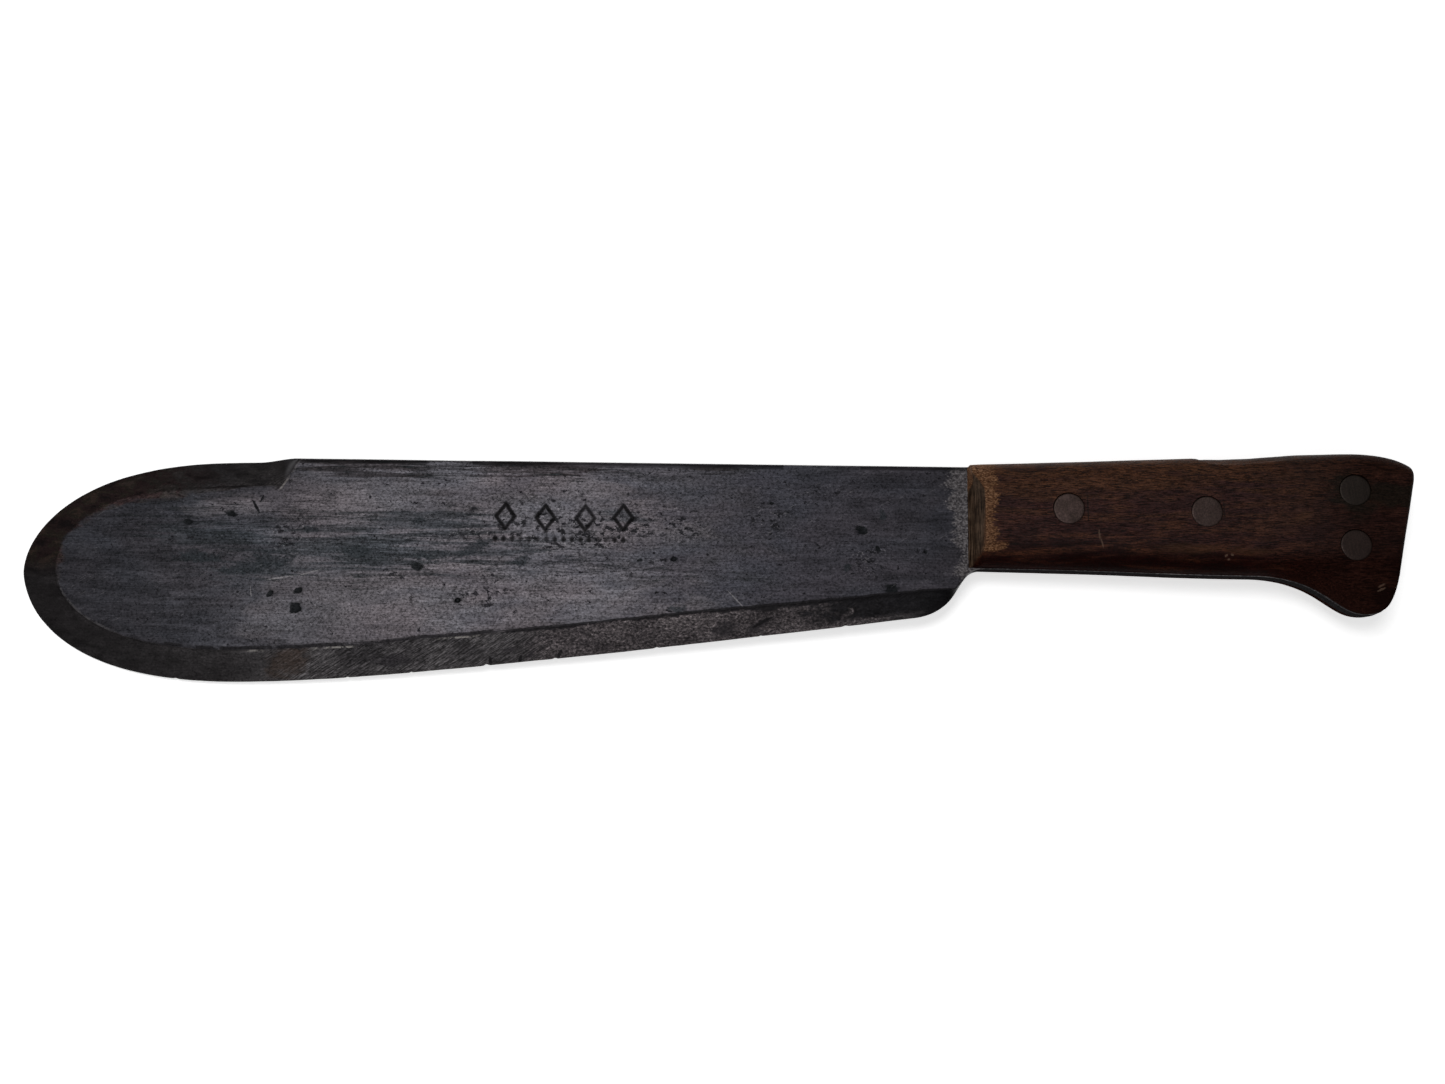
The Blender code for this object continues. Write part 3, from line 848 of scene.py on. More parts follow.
class Weave:
    """The nodes of one material, with its patterns laid out in drafting millimetres.

    A shader has to fit the renderer's small stack of waiting values. So each node is made after those that
    feed it, a Mapping feeds textures and never vector maths, and no range is clamped."""

    def __init__(self, name):
        self.material = bpy.data.materials.new(name)
        self.material.use_nodes = True
        self.tree = self.material.node_tree
        self.shader = self.tree.nodes["Principled BSDF"]
        self.seed = 0
        in_frame = self.node("TexCoord").outputs["Object"]
        mapping = self.node("Mapping", vector_type="POINT")
        self.feed(mapping.inputs["Vector"], in_frame)
        self.feed(mapping.inputs["Location"], tuple(-SHIFT / MM))
        self.feed(mapping.inputs["Scale"], (1 / MM, 1 / MM, 1 / MM))
        self.place = mapping.outputs["Vector"]
        axes = self.node("SeparateXYZ")
        self.feed(axes.inputs[0], self.place)
        self.x, self.y, self.z = axes.outputs

    def node(self, kind, **settings):
        made = self.tree.nodes.new("ShaderNode" + kind)
        for key, value in settings.items():
            setattr(made, key, value)
        return made

    def feed(self, socket, value):
        if isinstance(value, bpy.types.NodeSocket):
            self.tree.links.new(value, socket)
        elif socket.type == "RGBA" and len(value) == 3:
            socket.default_value = (*value, 1)
        else:
            socket.default_value = value

    def laid(self, size, turn=0, centre=(0, 0, 0)):
        """Places measured from `centre` in units of `size`, on axes turned about z by `turn` degrees."""
        mapping = self.node("Mapping", vector_type="TEXTURE")
        self.feed(mapping.inputs["Vector"], self.place)
        self.feed(mapping.inputs["Location"], centre)
        self.feed(mapping.inputs["Rotation"], (0, 0, math.radians(turn)))
        self.feed(mapping.inputs["Scale"], size)
        return mapping.outputs["Vector"]

    def noise(self, size, detail=3, roughness=0.5, warp=0, turn=0):
        """Noise about 0.5 with lumps of `size` millimetres."""
        self.seed += 1
        place = self.laid(size, turn, (391.7 * self.seed, 173.3 * self.seed, 57.1 * self.seed))
        texture = self.node("TexNoise")
        for name, value in (("Vector", place), ("Scale", 1), ("Detail", detail), ("Roughness", roughness),
                            ("Distortion", warp)):
            self.feed(texture.inputs[name], value)
        return texture.outputs["Fac"]

    def fit(self, value, low, high, to_low, to_high, kind="LINEAR"):
        """A straight change of range, which goes on past its ends."""
        node = self.node("MapRange", interpolation_type=kind, clamp=False)
        for name, number in (("Value", value), ("From Min", low), ("From Max", high),
                             ("To Min", to_low), ("To Max", to_high)):
            self.feed(node.inputs[name], number)
        return node.outputs["Result"]

    def step(self, value, low, high, to_low=0, to_high=1):
        """`to_low` up to `low` and `to_high` from `high` on, with a smooth change between."""
        return self.fit(value, low, high, to_low, to_high, "SMOOTHSTEP")

    def swing(self, noise, low, high):
        """From `low` to `high` as a noise goes through its usual span."""
        return self.fit(noise, *NOISE_SPAN, low, high)

    def lerp(self, share, at_none, at_full):
        return self.fit(share, 0, 1, at_none, at_full)

    def math(self, operation, first, second=0):
        node = self.node("Math", operation=operation)
        self.feed(node.inputs[0], first)
        self.feed(node.inputs[1], second)
        return node.outputs[0]

    def chain(self, operation, values):
        return reduce(lambda total, value: self.math(operation, total, value), values)

    def times(self, *values):
        return self.chain("MULTIPLY", values)

    def sum(self, *values):
        return self.chain("ADD", values)

    def widest(self, *values):
        return self.chain("MAXIMUM", values)

    def attribute(self, name):
        return self.node("Attribute", attribute_name=name).outputs["Fac"]

    def ramp(self, value, *stops):
        """A colour for each value, from stops of (value, brightness) or (value, red, green, blue)."""
        node = self.node("ValToRGB")
        elements = node.color_ramp.elements
        while len(elements) < len(stops):
            elements.new(0.5)
        for element, (position, *colour) in zip(elements, stops):
            element.position = position
            element.color = (*(colour * 3)[:3], 1)
        self.feed(node.inputs["Fac"], value)
        return node.outputs["Color"]

    def between(self, noise, dark, light):
        return self.ramp(noise, (TONE_SPAN[0], *dark), (TONE_SPAN[1], *light))

    def mix(self, factor, first, second, how="MIX"):
        node = self.node("Mix", data_type="RGBA", blend_type=how)
        self.feed(node.inputs["Factor"], factor)
        self.feed(node.inputs[6], first)
        self.feed(node.inputs[7], second)
        return node.outputs[2]

    def cover(self, under, over, *shares):
        """One colour laid over another, as much as the product of the shares says."""
        return self.mix(self.times(*shares), under, over)

    def shade(self, colour, value, *stops, share=1):
        """A colour multiplied by the ramp of a value."""
        return self.mix(share, colour, self.ramp(value, *stops), "MULTIPLY")

    def patches(self, table, ragged, soft, grain):
        """1 inside any of a table's ellipses, whose borders `grain` makes ragged."""
        stray = self.fit(grain, 0.25, 0.75, ragged / REACH, -ragged / REACH)
        found = []
        for x, y, half_length, half_width, turn in table:
            place = self.laid((REACH * half_length, REACH * half_width, ENDLESS), turn, (x, y, 0))
            gradient = self.node("TexGradient", gradient_type="SPHERICAL")
            self.feed(gradient.inputs["Vector"], place)
            near = self.sum(gradient.outputs["Fac"], stray)
            found.append(self.step(near, BORDER - soft / REACH / 2, BORDER + soft / REACH / 2))
        return self.widest(*found)

    def bump(self, height, distance, strength):
        node = self.node("Bump")
        self.feed(node.inputs["Height"], height)
        self.feed(node.inputs["Distance"], distance * MM)
        self.feed(node.inputs["Strength"], strength)
        return node.outputs["Normal"]


# Patches of colour as (x, y, half length, half width, turn in degrees).
PALE_PATCHES = ((-190, -13, 20, 5.5, 2), (-168, -46.5, 38, 8.5, -5),
                (-122, -41, 34, 6.5, -6), (-124, -20, 27, 8.5, 0),
                (-150, -6.5, 9, 2.6, 0), (-213, -50, 12, 5.5, 0),
                (-118, -8.5, 14, 4, 0), (-226, -15.5, 11, 2.6, 3))
BLUE_PATCHES = ((-186, -28, 34, 5.2, -2), (-168, -20.5, 18, 3.6, 0),
                (-228, -25, 22, 3, -2), (-218, -35, 18, 3.2, 2),
                (-144, -28.5, 16, 2.6, 0), (-106, -17.5, 7, 2, -4))
SPINE_BANDS = ((-186, -1.6, 22, 3.2, 0), (-136, -1.2, 20, 2.7, 0),
               (-78, -1.6, 9, 1.1, 2))
STREAKED_ZONES = ((-160, -2.6, 60, 3.4, 0), (-192, -26, 62, 9.5, -1),
                  (-112, -33, 36, 3.2, -3), (-232, -22, 16, 8, 0))
LEFT_STAINS = ((-188.8, -29.4, 4, 1.8, 0), (-153, -27.6, 6, 1.8, 24),
               (-166, -30.4, 6, 1.5, 0), (-138, -31.6, 3, 1.6, 35),
               (-170.6, -19.3, 2.2, 1.1, 0), (-203.8, -22.5, 2.4, 1.1, -5),
               (-222, -35, 8, 1.6, 3), (-238, -31.5, 7, 1.8, -4),
               (-215, -32.5, 7, 2, 0),
               (-26.5, -16, 1, 1.6, 10), (-37.5, -32.5, 1.3, 1, 0),
               (-89.6, -46, 2.4, 1.2, 0))
RIGHT_STAINS = ((-99, -14, 4, 1.4, -10), (-208, -30, 6, 1.6, 4),
                (-160, -33, 5, 1.3, -12), (-120, -24, 3.5, 1.6, 20),
                (-60, -36, 3, 1.2, 0))
LEFT_SPOTS = ((-170.3, -33.9, 2.4, 1.1, -8), (-221.2, -15.4, 0.45, 2.7, 32),
              (-219.4, -13.2, 0.35, 1.2, -20), (-91.2, -30.5, 1.3, 0.9, 20),
              (-157.3, -44.2, 1.2, 0.7, 20), (-207.2, -47.1, 2, 1.7, 10),
              (-206.5, -41.8, 1.6, 0.9, 25), (-215.1, -42.9, 1.5, 0.8, 50),
              (-228.7, -17.9, 2, 0.9, -12), (-241.7, -20.8, 1.4, 1, 0),
              (-33.1, -20.4, 1.9, 1.4, -20), (-28.1, -26.6, 1.2, 0.7, -60),
              (-23.9, -39, 2.1, 1.6, 0), (-13.4, -27.1, 0.8, 0.5, 0),
              (-61, -12.5, 0.7, 0.4, 0), (-101.5, -31, 0.9, 0.5, 0))
LEFT_CUTS = ((-71.8, -42.8, 3.4, 0.22, -46), (-211.6, -37.8, 4.6, 0.22, 9),
             (-203.6, -36.2, 4.4, 0.2, 17), (-221.1, -42.3, 0.2, 1.6, 8))
RIGHT_SPOTS = ((-182, -21.5, 1.9, 1.2, 10), (-143.7, -40.2, 1.5, 0.9, -20),
               (-236.2, -38.4, 2.2, 1.5, 0), (-70.3, -27.7, 1.6, 1.1, 30),
               (-40.9, -12.1, 1.2, 0.8, 0))
SPECK_CLUSTERS = ((-91, -19, 8, 5, 0), (-63.5, -18, 6, 4, 0),
                  (-31, -31, 6, 7, 0), (-42.3, -7.5, 5, 2, 0),
                  (-94, -30.5, 9, 2, 0), (-148, -42, 8, 6, 0),
                  (-123, -21, 30, 7, 0), (-210, -24, 9, 4, 0))

GRIND_SPOT = ((-208.6, -63.8, 6, 4.2, 10),)
# Darker places on the grind, and the nicks along its edge.
GRIND_SHADES = ((-177.5, -63, 6, 1.6, 5), (-141.6, -59.2, 2.6, 0.7, 12),
                (-134.4, -60.2, 1.2, 0.5, 40), (-131, -58.2, 1.2, 0.8, 60),
                (-75.5, -51.5, 3.4, 2.4, 20), (-63.7, -50, 4.2, 0.8, 28),
                (-66, -52.4, 2, 0.8, 10))
NICK_MARKS = ((-146.8, -62.8, 0.5, 1.7, 10), (-137.7, -62, 0.45, 1.3, -15),
              (-125.9, -60.6, 0.5, 1.9, -28), (-63.5, -49.6, 3.4, 0.45, 28))

# Stretches of the shoulder that are rubbed bright and painted with highlights, as (x, half length).
GLINTS = ((-194.8, 6), (-156.6, 6.5), (-219, 3))

# Colours of the steel, from light to dark: painted highlights and bare metal first, dirt and painted shade
# among the dark ones.
GLINT = (0.22, 0.205, 0.195)
FRESH_CUT = (0.19, 0.18, 0.185)
PLUNGE_LINE = (0.16, 0.146, 0.142)
BARE_STEEL = (0.13, 0.12, 0.125)
RUBBED_PALE = (0.1, 0.091, 0.099)
EDGE_WEAR_AND_HIGHLIGHT = (0.1, 0.095, 0.09)
SPINE_ARRIS_HIGHLIGHT = (0.085, 0.081, 0.085)
TIP_SHOULDER_GLINT = (0.085, 0.08, 0.084)
BROWN_SPOT = (0.036, 0.023, 0.017)
SPINE_WALL = (0.034, 0.0325, 0.0355)
BLUE_GREY = (0.027, 0.031, 0.036)
SPINE_DIRT = (0.0185, 0.0155, 0.0165)
GRIND_SHADE = (0.0175, 0.0155, 0.018)
STAIN = (0.0135, 0.0163, 0.019)
DARK_STROKE = (0.012, 0.0145, 0.016)
STRUCK_DIRT = (0.011, 0.01, 0.0105)
# Painted shade for the shoulder's groove.
SHOULDER_GROOVE_SHADE = (0.0075, 0.0068, 0.0078)
SPECK = (0.0065, 0.0063, 0.008)
TANG_WALL = (0.0065, 0.006, 0.0062)
NICK = (0.0055, 0.005, 0.0058)
PIT = (0.004, 0.0048, 0.0056)


def steel_tones(w):
    """The patterns that the flats and the grinds share."""
    return {
        "mottle": w.noise((14, 5.5, 6), 5, 0.55, 0.5),
        "streak": w.noise((24, 1.5, 4), 5, 0.56, 0.6),
        "speckle": w.noise((0.75, 0.55, 0.7), 3, 0.62),
        "dash": w.noise((6, 0.42, 1), 3, 0.55, 0.6),
        "hairs": w.noise((16, 0.26, 1), 1, 0.5, 0.2),
        "hue": w.noise((34, 14, 10), 2, 0.5, 0.4),
    }


def flat_base(w, tones):
    """The flats' ground tone: painted light falloff to both ends, pale rubbed patches and blue-grey bands."""
    mottle, streak = tones["mottle"], tones["streak"]
    along = w.sum(w.x, w.swing(mottle, -16, 16))
    # The ramp along the blade paints light: brightest through the middle, falling off towards both ends.
    colour = w.ramp(w.fit(along, -290, 10, 0, 1), (0.03, 0.021, 0.0208, 0.025), (0.15, 0.026, 0.0255, 0.03),
                    (0.25, 0.037, 0.0355, 0.041), (0.32, 0.056, 0.052, 0.058), (0.57, 0.056, 0.0525, 0.06),
                    (0.67, 0.045, 0.043, 0.05), (0.78, 0.03, 0.0287, 0.035), (0.95, 0.029, 0.0275, 0.033))
    colour = w.cover(colour, RUBBED_PALE, w.patches(PALE_PATCHES, 1.1, 1.2, mottle), 0.62)
    colour = w.cover(colour, BLUE_GREY, w.patches(BLUE_PATCHES, 1.4, 1.1, streak), 0.7)
    colour = w.cover(colour, SPINE_DIRT, w.patches(SPINE_BANDS, 1.3, 1, streak), 0.85)
    return w.shade(colour, tones["hue"], (0.38, 0.955, 1, 1.02), (0.5, 1), (0.62, 1.04, 1, 0.995))


def flat_colour(w, tones):
    """Dark patina with dark streaks, stains, spots and a fine grain."""
    mottle, streak, dash, speckle = (tones[name] for name in ("mottle", "streak", "dash", "speckle"))
    colour = flat_base(w, tones)
    zones = w.patches(STREAKED_ZONES, 1, 1, mottle)
    colour = w.shade(colour, mottle, (0.36, 0.62), (0.5, 1), (0.64, 1.36))
    streaked = w.shade(colour, streak, (0.36, 0.52), (0.5, 0.98), (0.64, 1.4))
    colour = w.mix(w.lerp(zones, 0.42, 1), colour, streaked)
    lined = w.shade(colour, dash, (0.36, 0.58), (0.48, 0.98), (0.66, 1.26))
    colour = w.mix(w.lerp(zones, 0.3, 0.9), colour, lined)
    colour = w.shade(colour, tones["hairs"], (0.38, 0.82), (0.5, 1), (0.62, 1.18), share=0.65)
    strokes = w.times(w.step(dash, 0.475, 0.4), w.step(streak, 0.56, 0.44), zones)
    colour = w.cover(colour, DARK_STROKE, strokes, 0.8)

    left, right = w.step(w.z, -1, 1), w.step(w.z, 1, -1)
    bite = w.noise((1.6, 1, 2), 3, 0.55)

    def on_each_side(left_table, right_table, ragged, soft):
        return w.widest(w.times(w.patches(left_table, ragged, soft, bite), left),
                        w.times(w.patches(right_table, ragged, soft, bite), right))

    colour = w.cover(colour, STAIN, on_each_side(LEFT_STAINS, RIGHT_STAINS, 0.8, 0.6), 0.78)
    from_grip = w.sum(w.x, w.fit(w.y, -30, 0, -2.2, 2.2), w.swing(mottle, -2.6, 2.6),
                      w.swing(speckle, -1.2, 1.2))
    rubbed = w.ramp(speckle, (0.38, 0.044, 0.039, 0.04), (0.5, 0.072, 0.066, 0.067),
                    (0.62, 0.12, 0.11, 0.112))
    colour = w.cover(colour, rubbed, w.step(from_grip, -6.2, -3.6), 0.75)
    colour = w.shade(colour, speckle, (0.34, 0.8), (0.46, 0.97), (0.56, 1.03), (0.68, 1.22))
    clusters = w.patches(SPECK_CLUSTERS, 1, 1, mottle)
    grit = w.noise((2.1, 1.5, 1.2), 2, 0.6)
    specks = w.widest(w.times(w.step(grit, 0.445, 0.41), clusters, left), w.step(grit, 0.325, 0.3))
    colour = w.cover(colour, SPECK, specks, 0.95)
    bright = w.sum(w.times(clusters, 0.5), 0.1)
    colour = w.cover(colour, BARE_STEEL, w.step(speckle, 0.62, 0.7), bright)
    colour = w.cover(colour, PIT, on_each_side(LEFT_SPOTS, RIGHT_SPOTS, 0.4, 0.4), 0.97)
    aslant = w.noise((7, 0.16, 1), 1, 0.5, 0.12, 32)
    scratch = w.times(w.step(aslant, 0.71, 0.78), w.step(mottle, 0.46, 0.56))
    cut = w.times(w.patches(LEFT_CUTS, 0.3, 0.5, bite), left)
    return w.cover(colour, FRESH_CUT, w.widest(scratch, cut), 0.45)


def ground_colour(w, tones, share):
    """Grinds worn brighter in the blade's middle, scored aslant, dark at the heel and brown at the tip."""
    mottle, speckle, dash = tones["mottle"], tones["speckle"], tones["dash"]
    scratches = w.noise((3.6, 0.34, 5), 2, 0.6, 0.35, 33)
    colour = w.ramp(mottle, (0.36, 0.025, 0.023, 0.0245), (0.5, 0.046, 0.0425, 0.0445),
                    (0.64, 0.072, 0.067, 0.0695))
    scored = w.times(w.step(w.x, -222, -206), w.step(w.x, -118, -140))
    stroked = w.shade(colour, scratches, (0.38, 0.32), (0.47, 0.74), (0.54, 1.02), (0.63, 1.75))
    colour = w.mix(w.lerp(scored, 0.2, 1), colour, stroked)
    grain = w.noise((0.85, 0.6, 0.6), 3, 0.7)
    gritty = w.shade(colour, grain, (0.36, 0.22, 0.2, 0.21), (0.47, 0.85, 0.79, 0.8),
                     (0.56, 1.35, 1.25, 1.25), (0.66, 2.9, 2.7, 2.65))
    colour = w.cover(colour, gritty, w.step(w.x, -142, -126), w.step(w.x, -14, -30), 0.92)

    brown = w.noise((7, 3.5, 6), 6, 0.62, 0.5)
    nose = w.between(brown, (0.011, 0.0099, 0.0103), (0.0255, 0.023, 0.0242))
    colour = w.cover(colour, nose, w.step(w.x, -204, -232), 0.9)
    end = w.between(brown, (0.0155, 0.0136, 0.0139), (0.032, 0.0284, 0.0296))
    colour = w.cover(colour, end, w.step(w.x, -262, -284), 0.6)
    rust = w.ramp(brown, (0.38, 0.0105, 0.0064, 0.0066), (0.48, 0.028, 0.0148, 0.0145),
                  (0.54, 0.022, 0.018, 0.0125), (0.6, 0.047, 0.0285, 0.0225))
    towards_tip = w.sum(w.x, w.swing(brown, -14, 14))
    colour = w.cover(colour, rust, w.step(towards_tip, -226, -266), w.step(w.y, -39, -31), 0.9)
    near_heel = w.sum(w.x, w.swing(brown, -9, 9))
    heel_reach = w.widest(w.step(share, 0.12, 0.3), w.step(near_heel, -26, -14))
    heel = w.ramp(brown, (0.38, 0.0045, 0.0042, 0.005), (0.64, 0.014, 0.0132, 0.0152))
    colour = w.cover(colour, heel, w.step(near_heel, -52, -40), heel_reach, 0.94)
    colour = w.cover(colour, BROWN_SPOT, w.patches(GRIND_SPOT, 0.6, 0.8, brown), 0.6)
    colour = w.cover(colour, GRIND_SHADE, w.patches(GRIND_SHADES, 0.8, 0.7, brown), 0.7)
    colour = w.cover(colour, NICK, w.patches(NICK_MARKS, 0.4, 0.4, brown), 0.9)
    notch = w.between(brown, (0.012, 0.0108, 0.011), (0.033, 0.0295, 0.03))
    colour = w.cover(colour, notch, w.step(w.x, -232, -222), w.step(w.y, -12, -9.5), 0.8)
    colour = w.shade(colour, speckle, (0.34, 0.62), (0.46, 0.95), (0.56, 1.05), (0.68, 1.4))
    return w.shade(colour, dash, (0.36, 0.6), (0.5, 1), (0.66, 1.4), share=0.4), scratches


def shoulder_marks(w, colour, line, sharp):
    """Painted shade in the groove at the grind's corner, and painted highlights on the rubbed arris here and
    there.
    """
    lower = w.times(w.step(sharp, 0.5, 0.9), w.step(w.y, -32, -36))
    broken = w.noise((9, 9, 9), 4, 0.6)
    # A dark band painted as shade in the shoulder's groove: thin towards the tip, wider from the middle on.
    thin = w.times(w.step(line, 1.15, 0.65), w.step(line, -0.35, 0), w.step(broken, 0.34, 0.44),
                   w.step(w.x, -262, -250), w.step(w.x, -130, -150))
    reach = w.sum(w.fit(w.x, -160, -60, -0.5, -1.1), w.fit(broken, *TONE_SPAN, 0.5, -0.5))
    band = w.times(w.step(line, 0.6, 0.2), w.step(w.math("SUBTRACT", line, reach), -0.3, 0.3),
                   w.step(w.x, -158, -138))
    colour = w.cover(colour, SHOULDER_GROOVE_SHADE, w.widest(thin, band), lower, 0.93)
    ragged = w.noise((3, 3, 3), 4, 0.65)
    away = [(w.math("ABSOLUTE", w.sum(w.x, -x)), half) for x, half in GLINTS]
    stretches = w.widest(*(w.step(distance, half * 1.2, half * 0.8) for distance, half in away))
    # Painted highlights on the rubbed arris, in the stretches that GLINTS lists.
    colour = w.cover(colour, GLINT, w.step(line, -0.95, -0.7), w.step(line, -0.2, -0.4), stretches,
                     w.step(ragged, 0.45, 0.55), lower, 0.7)
    # At the tip, a painted highlight along the arris of the shoulder.
    arris = w.times(w.step(line, -0.5, -0.15), w.step(line, 0.5, 0.15), w.step(sharp, 0.05, 0.3))
    colour = w.cover(colour, TIP_SHOULDER_GLINT, arris, w.step(w.y, -39, -42), w.step(w.x, -260, -267),
                     w.step(ragged, 0.42, 0.5), 0.6)
    past_plunge = w.sum(w.times(w.x, 0.848), w.times(w.y, -0.529), w.swing(broken, 176.2, 176.8))
    beside = w.times(w.step(w.x, -217, -214.5), w.step(w.y, -10.6, -9.4))
    wedge = w.between(broken, (0.0145, 0.013, 0.0132), (0.036, 0.0325, 0.033))
    colour = w.cover(colour, wedge, w.step(past_plunge, 0.25, -0.25), beside, 0.8)
    return w.cover(colour, PLUNGE_LINE, w.step(past_plunge, -0.1, 0.15), w.step(past_plunge, 0.75, 0.45),
                   beside, w.step(ragged, 0.4, 0.5), w.step(w.y, -5, -8, 0.35, 1), 0.65)


def steel_material():
    """Old carbon steel: dark blue-grey patina on the flats, brown and scratched grinds."""
    w = Weave("blade_steel_aged")
    line, share, sharp, struck = (w.attribute(name) for name in ("line", "share", "sharp", "struck"))
    tones = steel_tones(w)
    speckle, mottle = tones["speckle"], tones["mottle"]
    flat = flat_colour(w, tones)
    ground, scratches = ground_colour(w, tones, share)
    upper = w.times(w.step(w.x, -222, -240), w.step(w.y, -44, -36))
    softened = w.sum(line, w.times(upper, w.swing(mottle, -1.8, 1.2)))
    grind = w.times(w.step(softened, w.lerp(upper, 0.05, 2), -0.25), w.step(sharp, 0.1, 0.35))
    colour = shoulder_marks(w, w.mix(grind, flat, ground), line, sharp)
    colour = w.cover(colour, STRUCK_DIRT, struck, w.fit(mottle, *TONE_SPAN, 0.95, 0.6))
    # Along the keen edge, a broken lighter line: the edge's wear with a painted highlight.
    rim = w.times(w.step(share, 0.06, 0), w.step(sharp, 0.6, 1), w.step(speckle, 0.44, 0.56))
    colour = w.cover(colour, EDGE_WEAR_AND_HIGHLIGHT, rim, 0.35)
    square = w.step(sharp, 0.4, 0.1)
    wall = w.times(w.step(share, 0.3, 0), square)
    wall_colour = w.mix(w.step(w.x, 0, 3), SPINE_WALL, TANG_WALL)
    colour = w.cover(colour, wall_colour, wall, 0.85)
    # The spine's arris is painted lighter as a highlight.
    near_face = w.step(w.math("ABSOLUTE", w.z), HALF_BLADE - 0.5, HALF_BLADE - 0.2)
    arris = w.times(near_face, w.step(share, 0.95, 0.6), square, w.step(w.x, 3, 0), 0.8)
    colour = w.mix(arris, colour, SPINE_ARRIS_HIGHLIGHT)
    w.feed(w.shader.inputs["Base Color"], colour)

    polish = w.sum(w.swing(mottle, 0.44, 0.52), w.swing(speckle, 0.06, -0.03))
    w.feed(w.shader.inputs["Roughness"], w.sum(polish, w.times(struck, 0.3), w.times(wall, 0.35)))
    w.feed(w.shader.inputs["Metallic"], w.lerp(w.widest(wall, arris), 0.8, 0))
    w.feed(w.shader.inputs["Specular IOR Level"], w.lerp(wall, 0.25, 0))
    pores = w.step(speckle, 0.44, 0.34)
    relief = w.sum(w.times(tones["dash"], 0.5), w.times(pores, -0.4), w.times(scratches, grind, 1.4),
                   w.times(speckle, 0.3))
    w.feed(w.shader.inputs["Normal"], w.bump(relief, 0.06, 0.9))
    return w.material


WOOD_STAINS = ((117.4, -8.6, 6.6, 6.4, 0), (129.5, -9.5, 10.5, 3, -4))
WOOD_DARKS = ((131, -32, 3.6, 8, -12), (125.5, -41.5, 6.5, 4.2, 20))
WOOD_TAN_PATCHES = ((101.4, -16.1, 2.6, 1, 22), (101.4, -16.1, 1.4, 0.6, 22),
                    (66, -26.6, 9, 1.3, 0), (84, -27.2, 7, 1, 0))
WOOD_LINES = ((35.3, -14.9, 0.28, 4.4, 2), (76.9, -14.6, 0.22, 4.2, 3), (75.9, -15, 0.2, 3.9, 3))
WOOD_NICKS = ((38.6, -22.6, 0.28, 1.5, 4), (39.4, -25.3, 0.25, 1.3, 14), (123.7, -37.3, 1.3, 0.28, 25),
              (123.6, -38.5, 1.2, 0.28, 25), (77.1, -28.6, 0.5, 0.35, 30), (78.9, -28.3, 0.45, 0.3, -30),
              (77.9, -29.7, 0.4, 0.25, 0))
RAW_LEAF = ((6.9, -26.7, 4, 1.35, 8),)

# Colours of the wood, from light to dark.
WOOD_NICK = (0.17, 0.105, 0.075)
WOOD_TAN = (0.085, 0.037, 0.017)
CHIPPED_WOOD = (0.034, 0.022, 0.018)
BUTT_WOOD = (0.0225, 0.0105, 0.0085)
WOOD_LINE = (0.0085, 0.0048, 0.004)
WOOD_DARK = (0.0065, 0.003, 0.0026)
WOOD_PORE = (0.006, 0.003, 0.0026)
WARM_TINT = (0.99, 0.8, 0.725)
RAW_GLOW = (1.7, 1.85, 2)


def wood_tone(w, grain, broad, mottle):
    """The ground colour: orange-brown at the crest, red-brown in the middle, dark red painted shade at the
    belly.
    """
    bend = w.noise((60, 14, 14), 2, 0.5)
    height = w.sum(w.y, w.fit(bend, 0.3, 0.7, -2.5, 2.5), w.swing(broad, -2.5, 2.5))
    level = w.fit(height, -38, 6, 0, 1)
    # The lowest stops of both ramps paint the belly's rounding dark as shade.
    orange = w.ramp(level, (0.02, 0.009, 0.0028, 0.0022), (0.17, 0.0135, 0.0037, 0.0026),
                    (0.3, 0.063, 0.0285, 0.0172), (0.55, 0.057, 0.0285, 0.0187),
                    (0.74, 0.068, 0.033, 0.0175), (0.95, 0.078, 0.0385, 0.019))
    purple = w.ramp(level, (0.02, 0.007, 0.0024, 0.0022), (0.17, 0.0105, 0.0029, 0.0027),
                    (0.33, 0.039, 0.0172, 0.0165), (0.6, 0.04, 0.0182, 0.018),
                    (0.95, 0.042, 0.018, 0.014))
    leaning = w.sum(w.times(broad, 0.7), w.step(height, -22, -2, -0.05, 0.07), w.times(mottle, 0.3))
    tone = w.mix(w.step(leaning, 0.4, 0.6), purple, orange)
    tone = w.cover(tone, BUTT_WOOD, w.step(w.x, 80, 122), 0.85)
    tone = w.mix(1, tone, WARM_TINT, "MULTIPLY")
    return w.shade(tone, grain, (0.36, 0.56, 0.5, 0.5), (0.46, 0.88, 0.87, 0.87), (0.55, 1.09, 1.09, 1.08),
                   (0.66, 1.42, 1.5, 1.46))


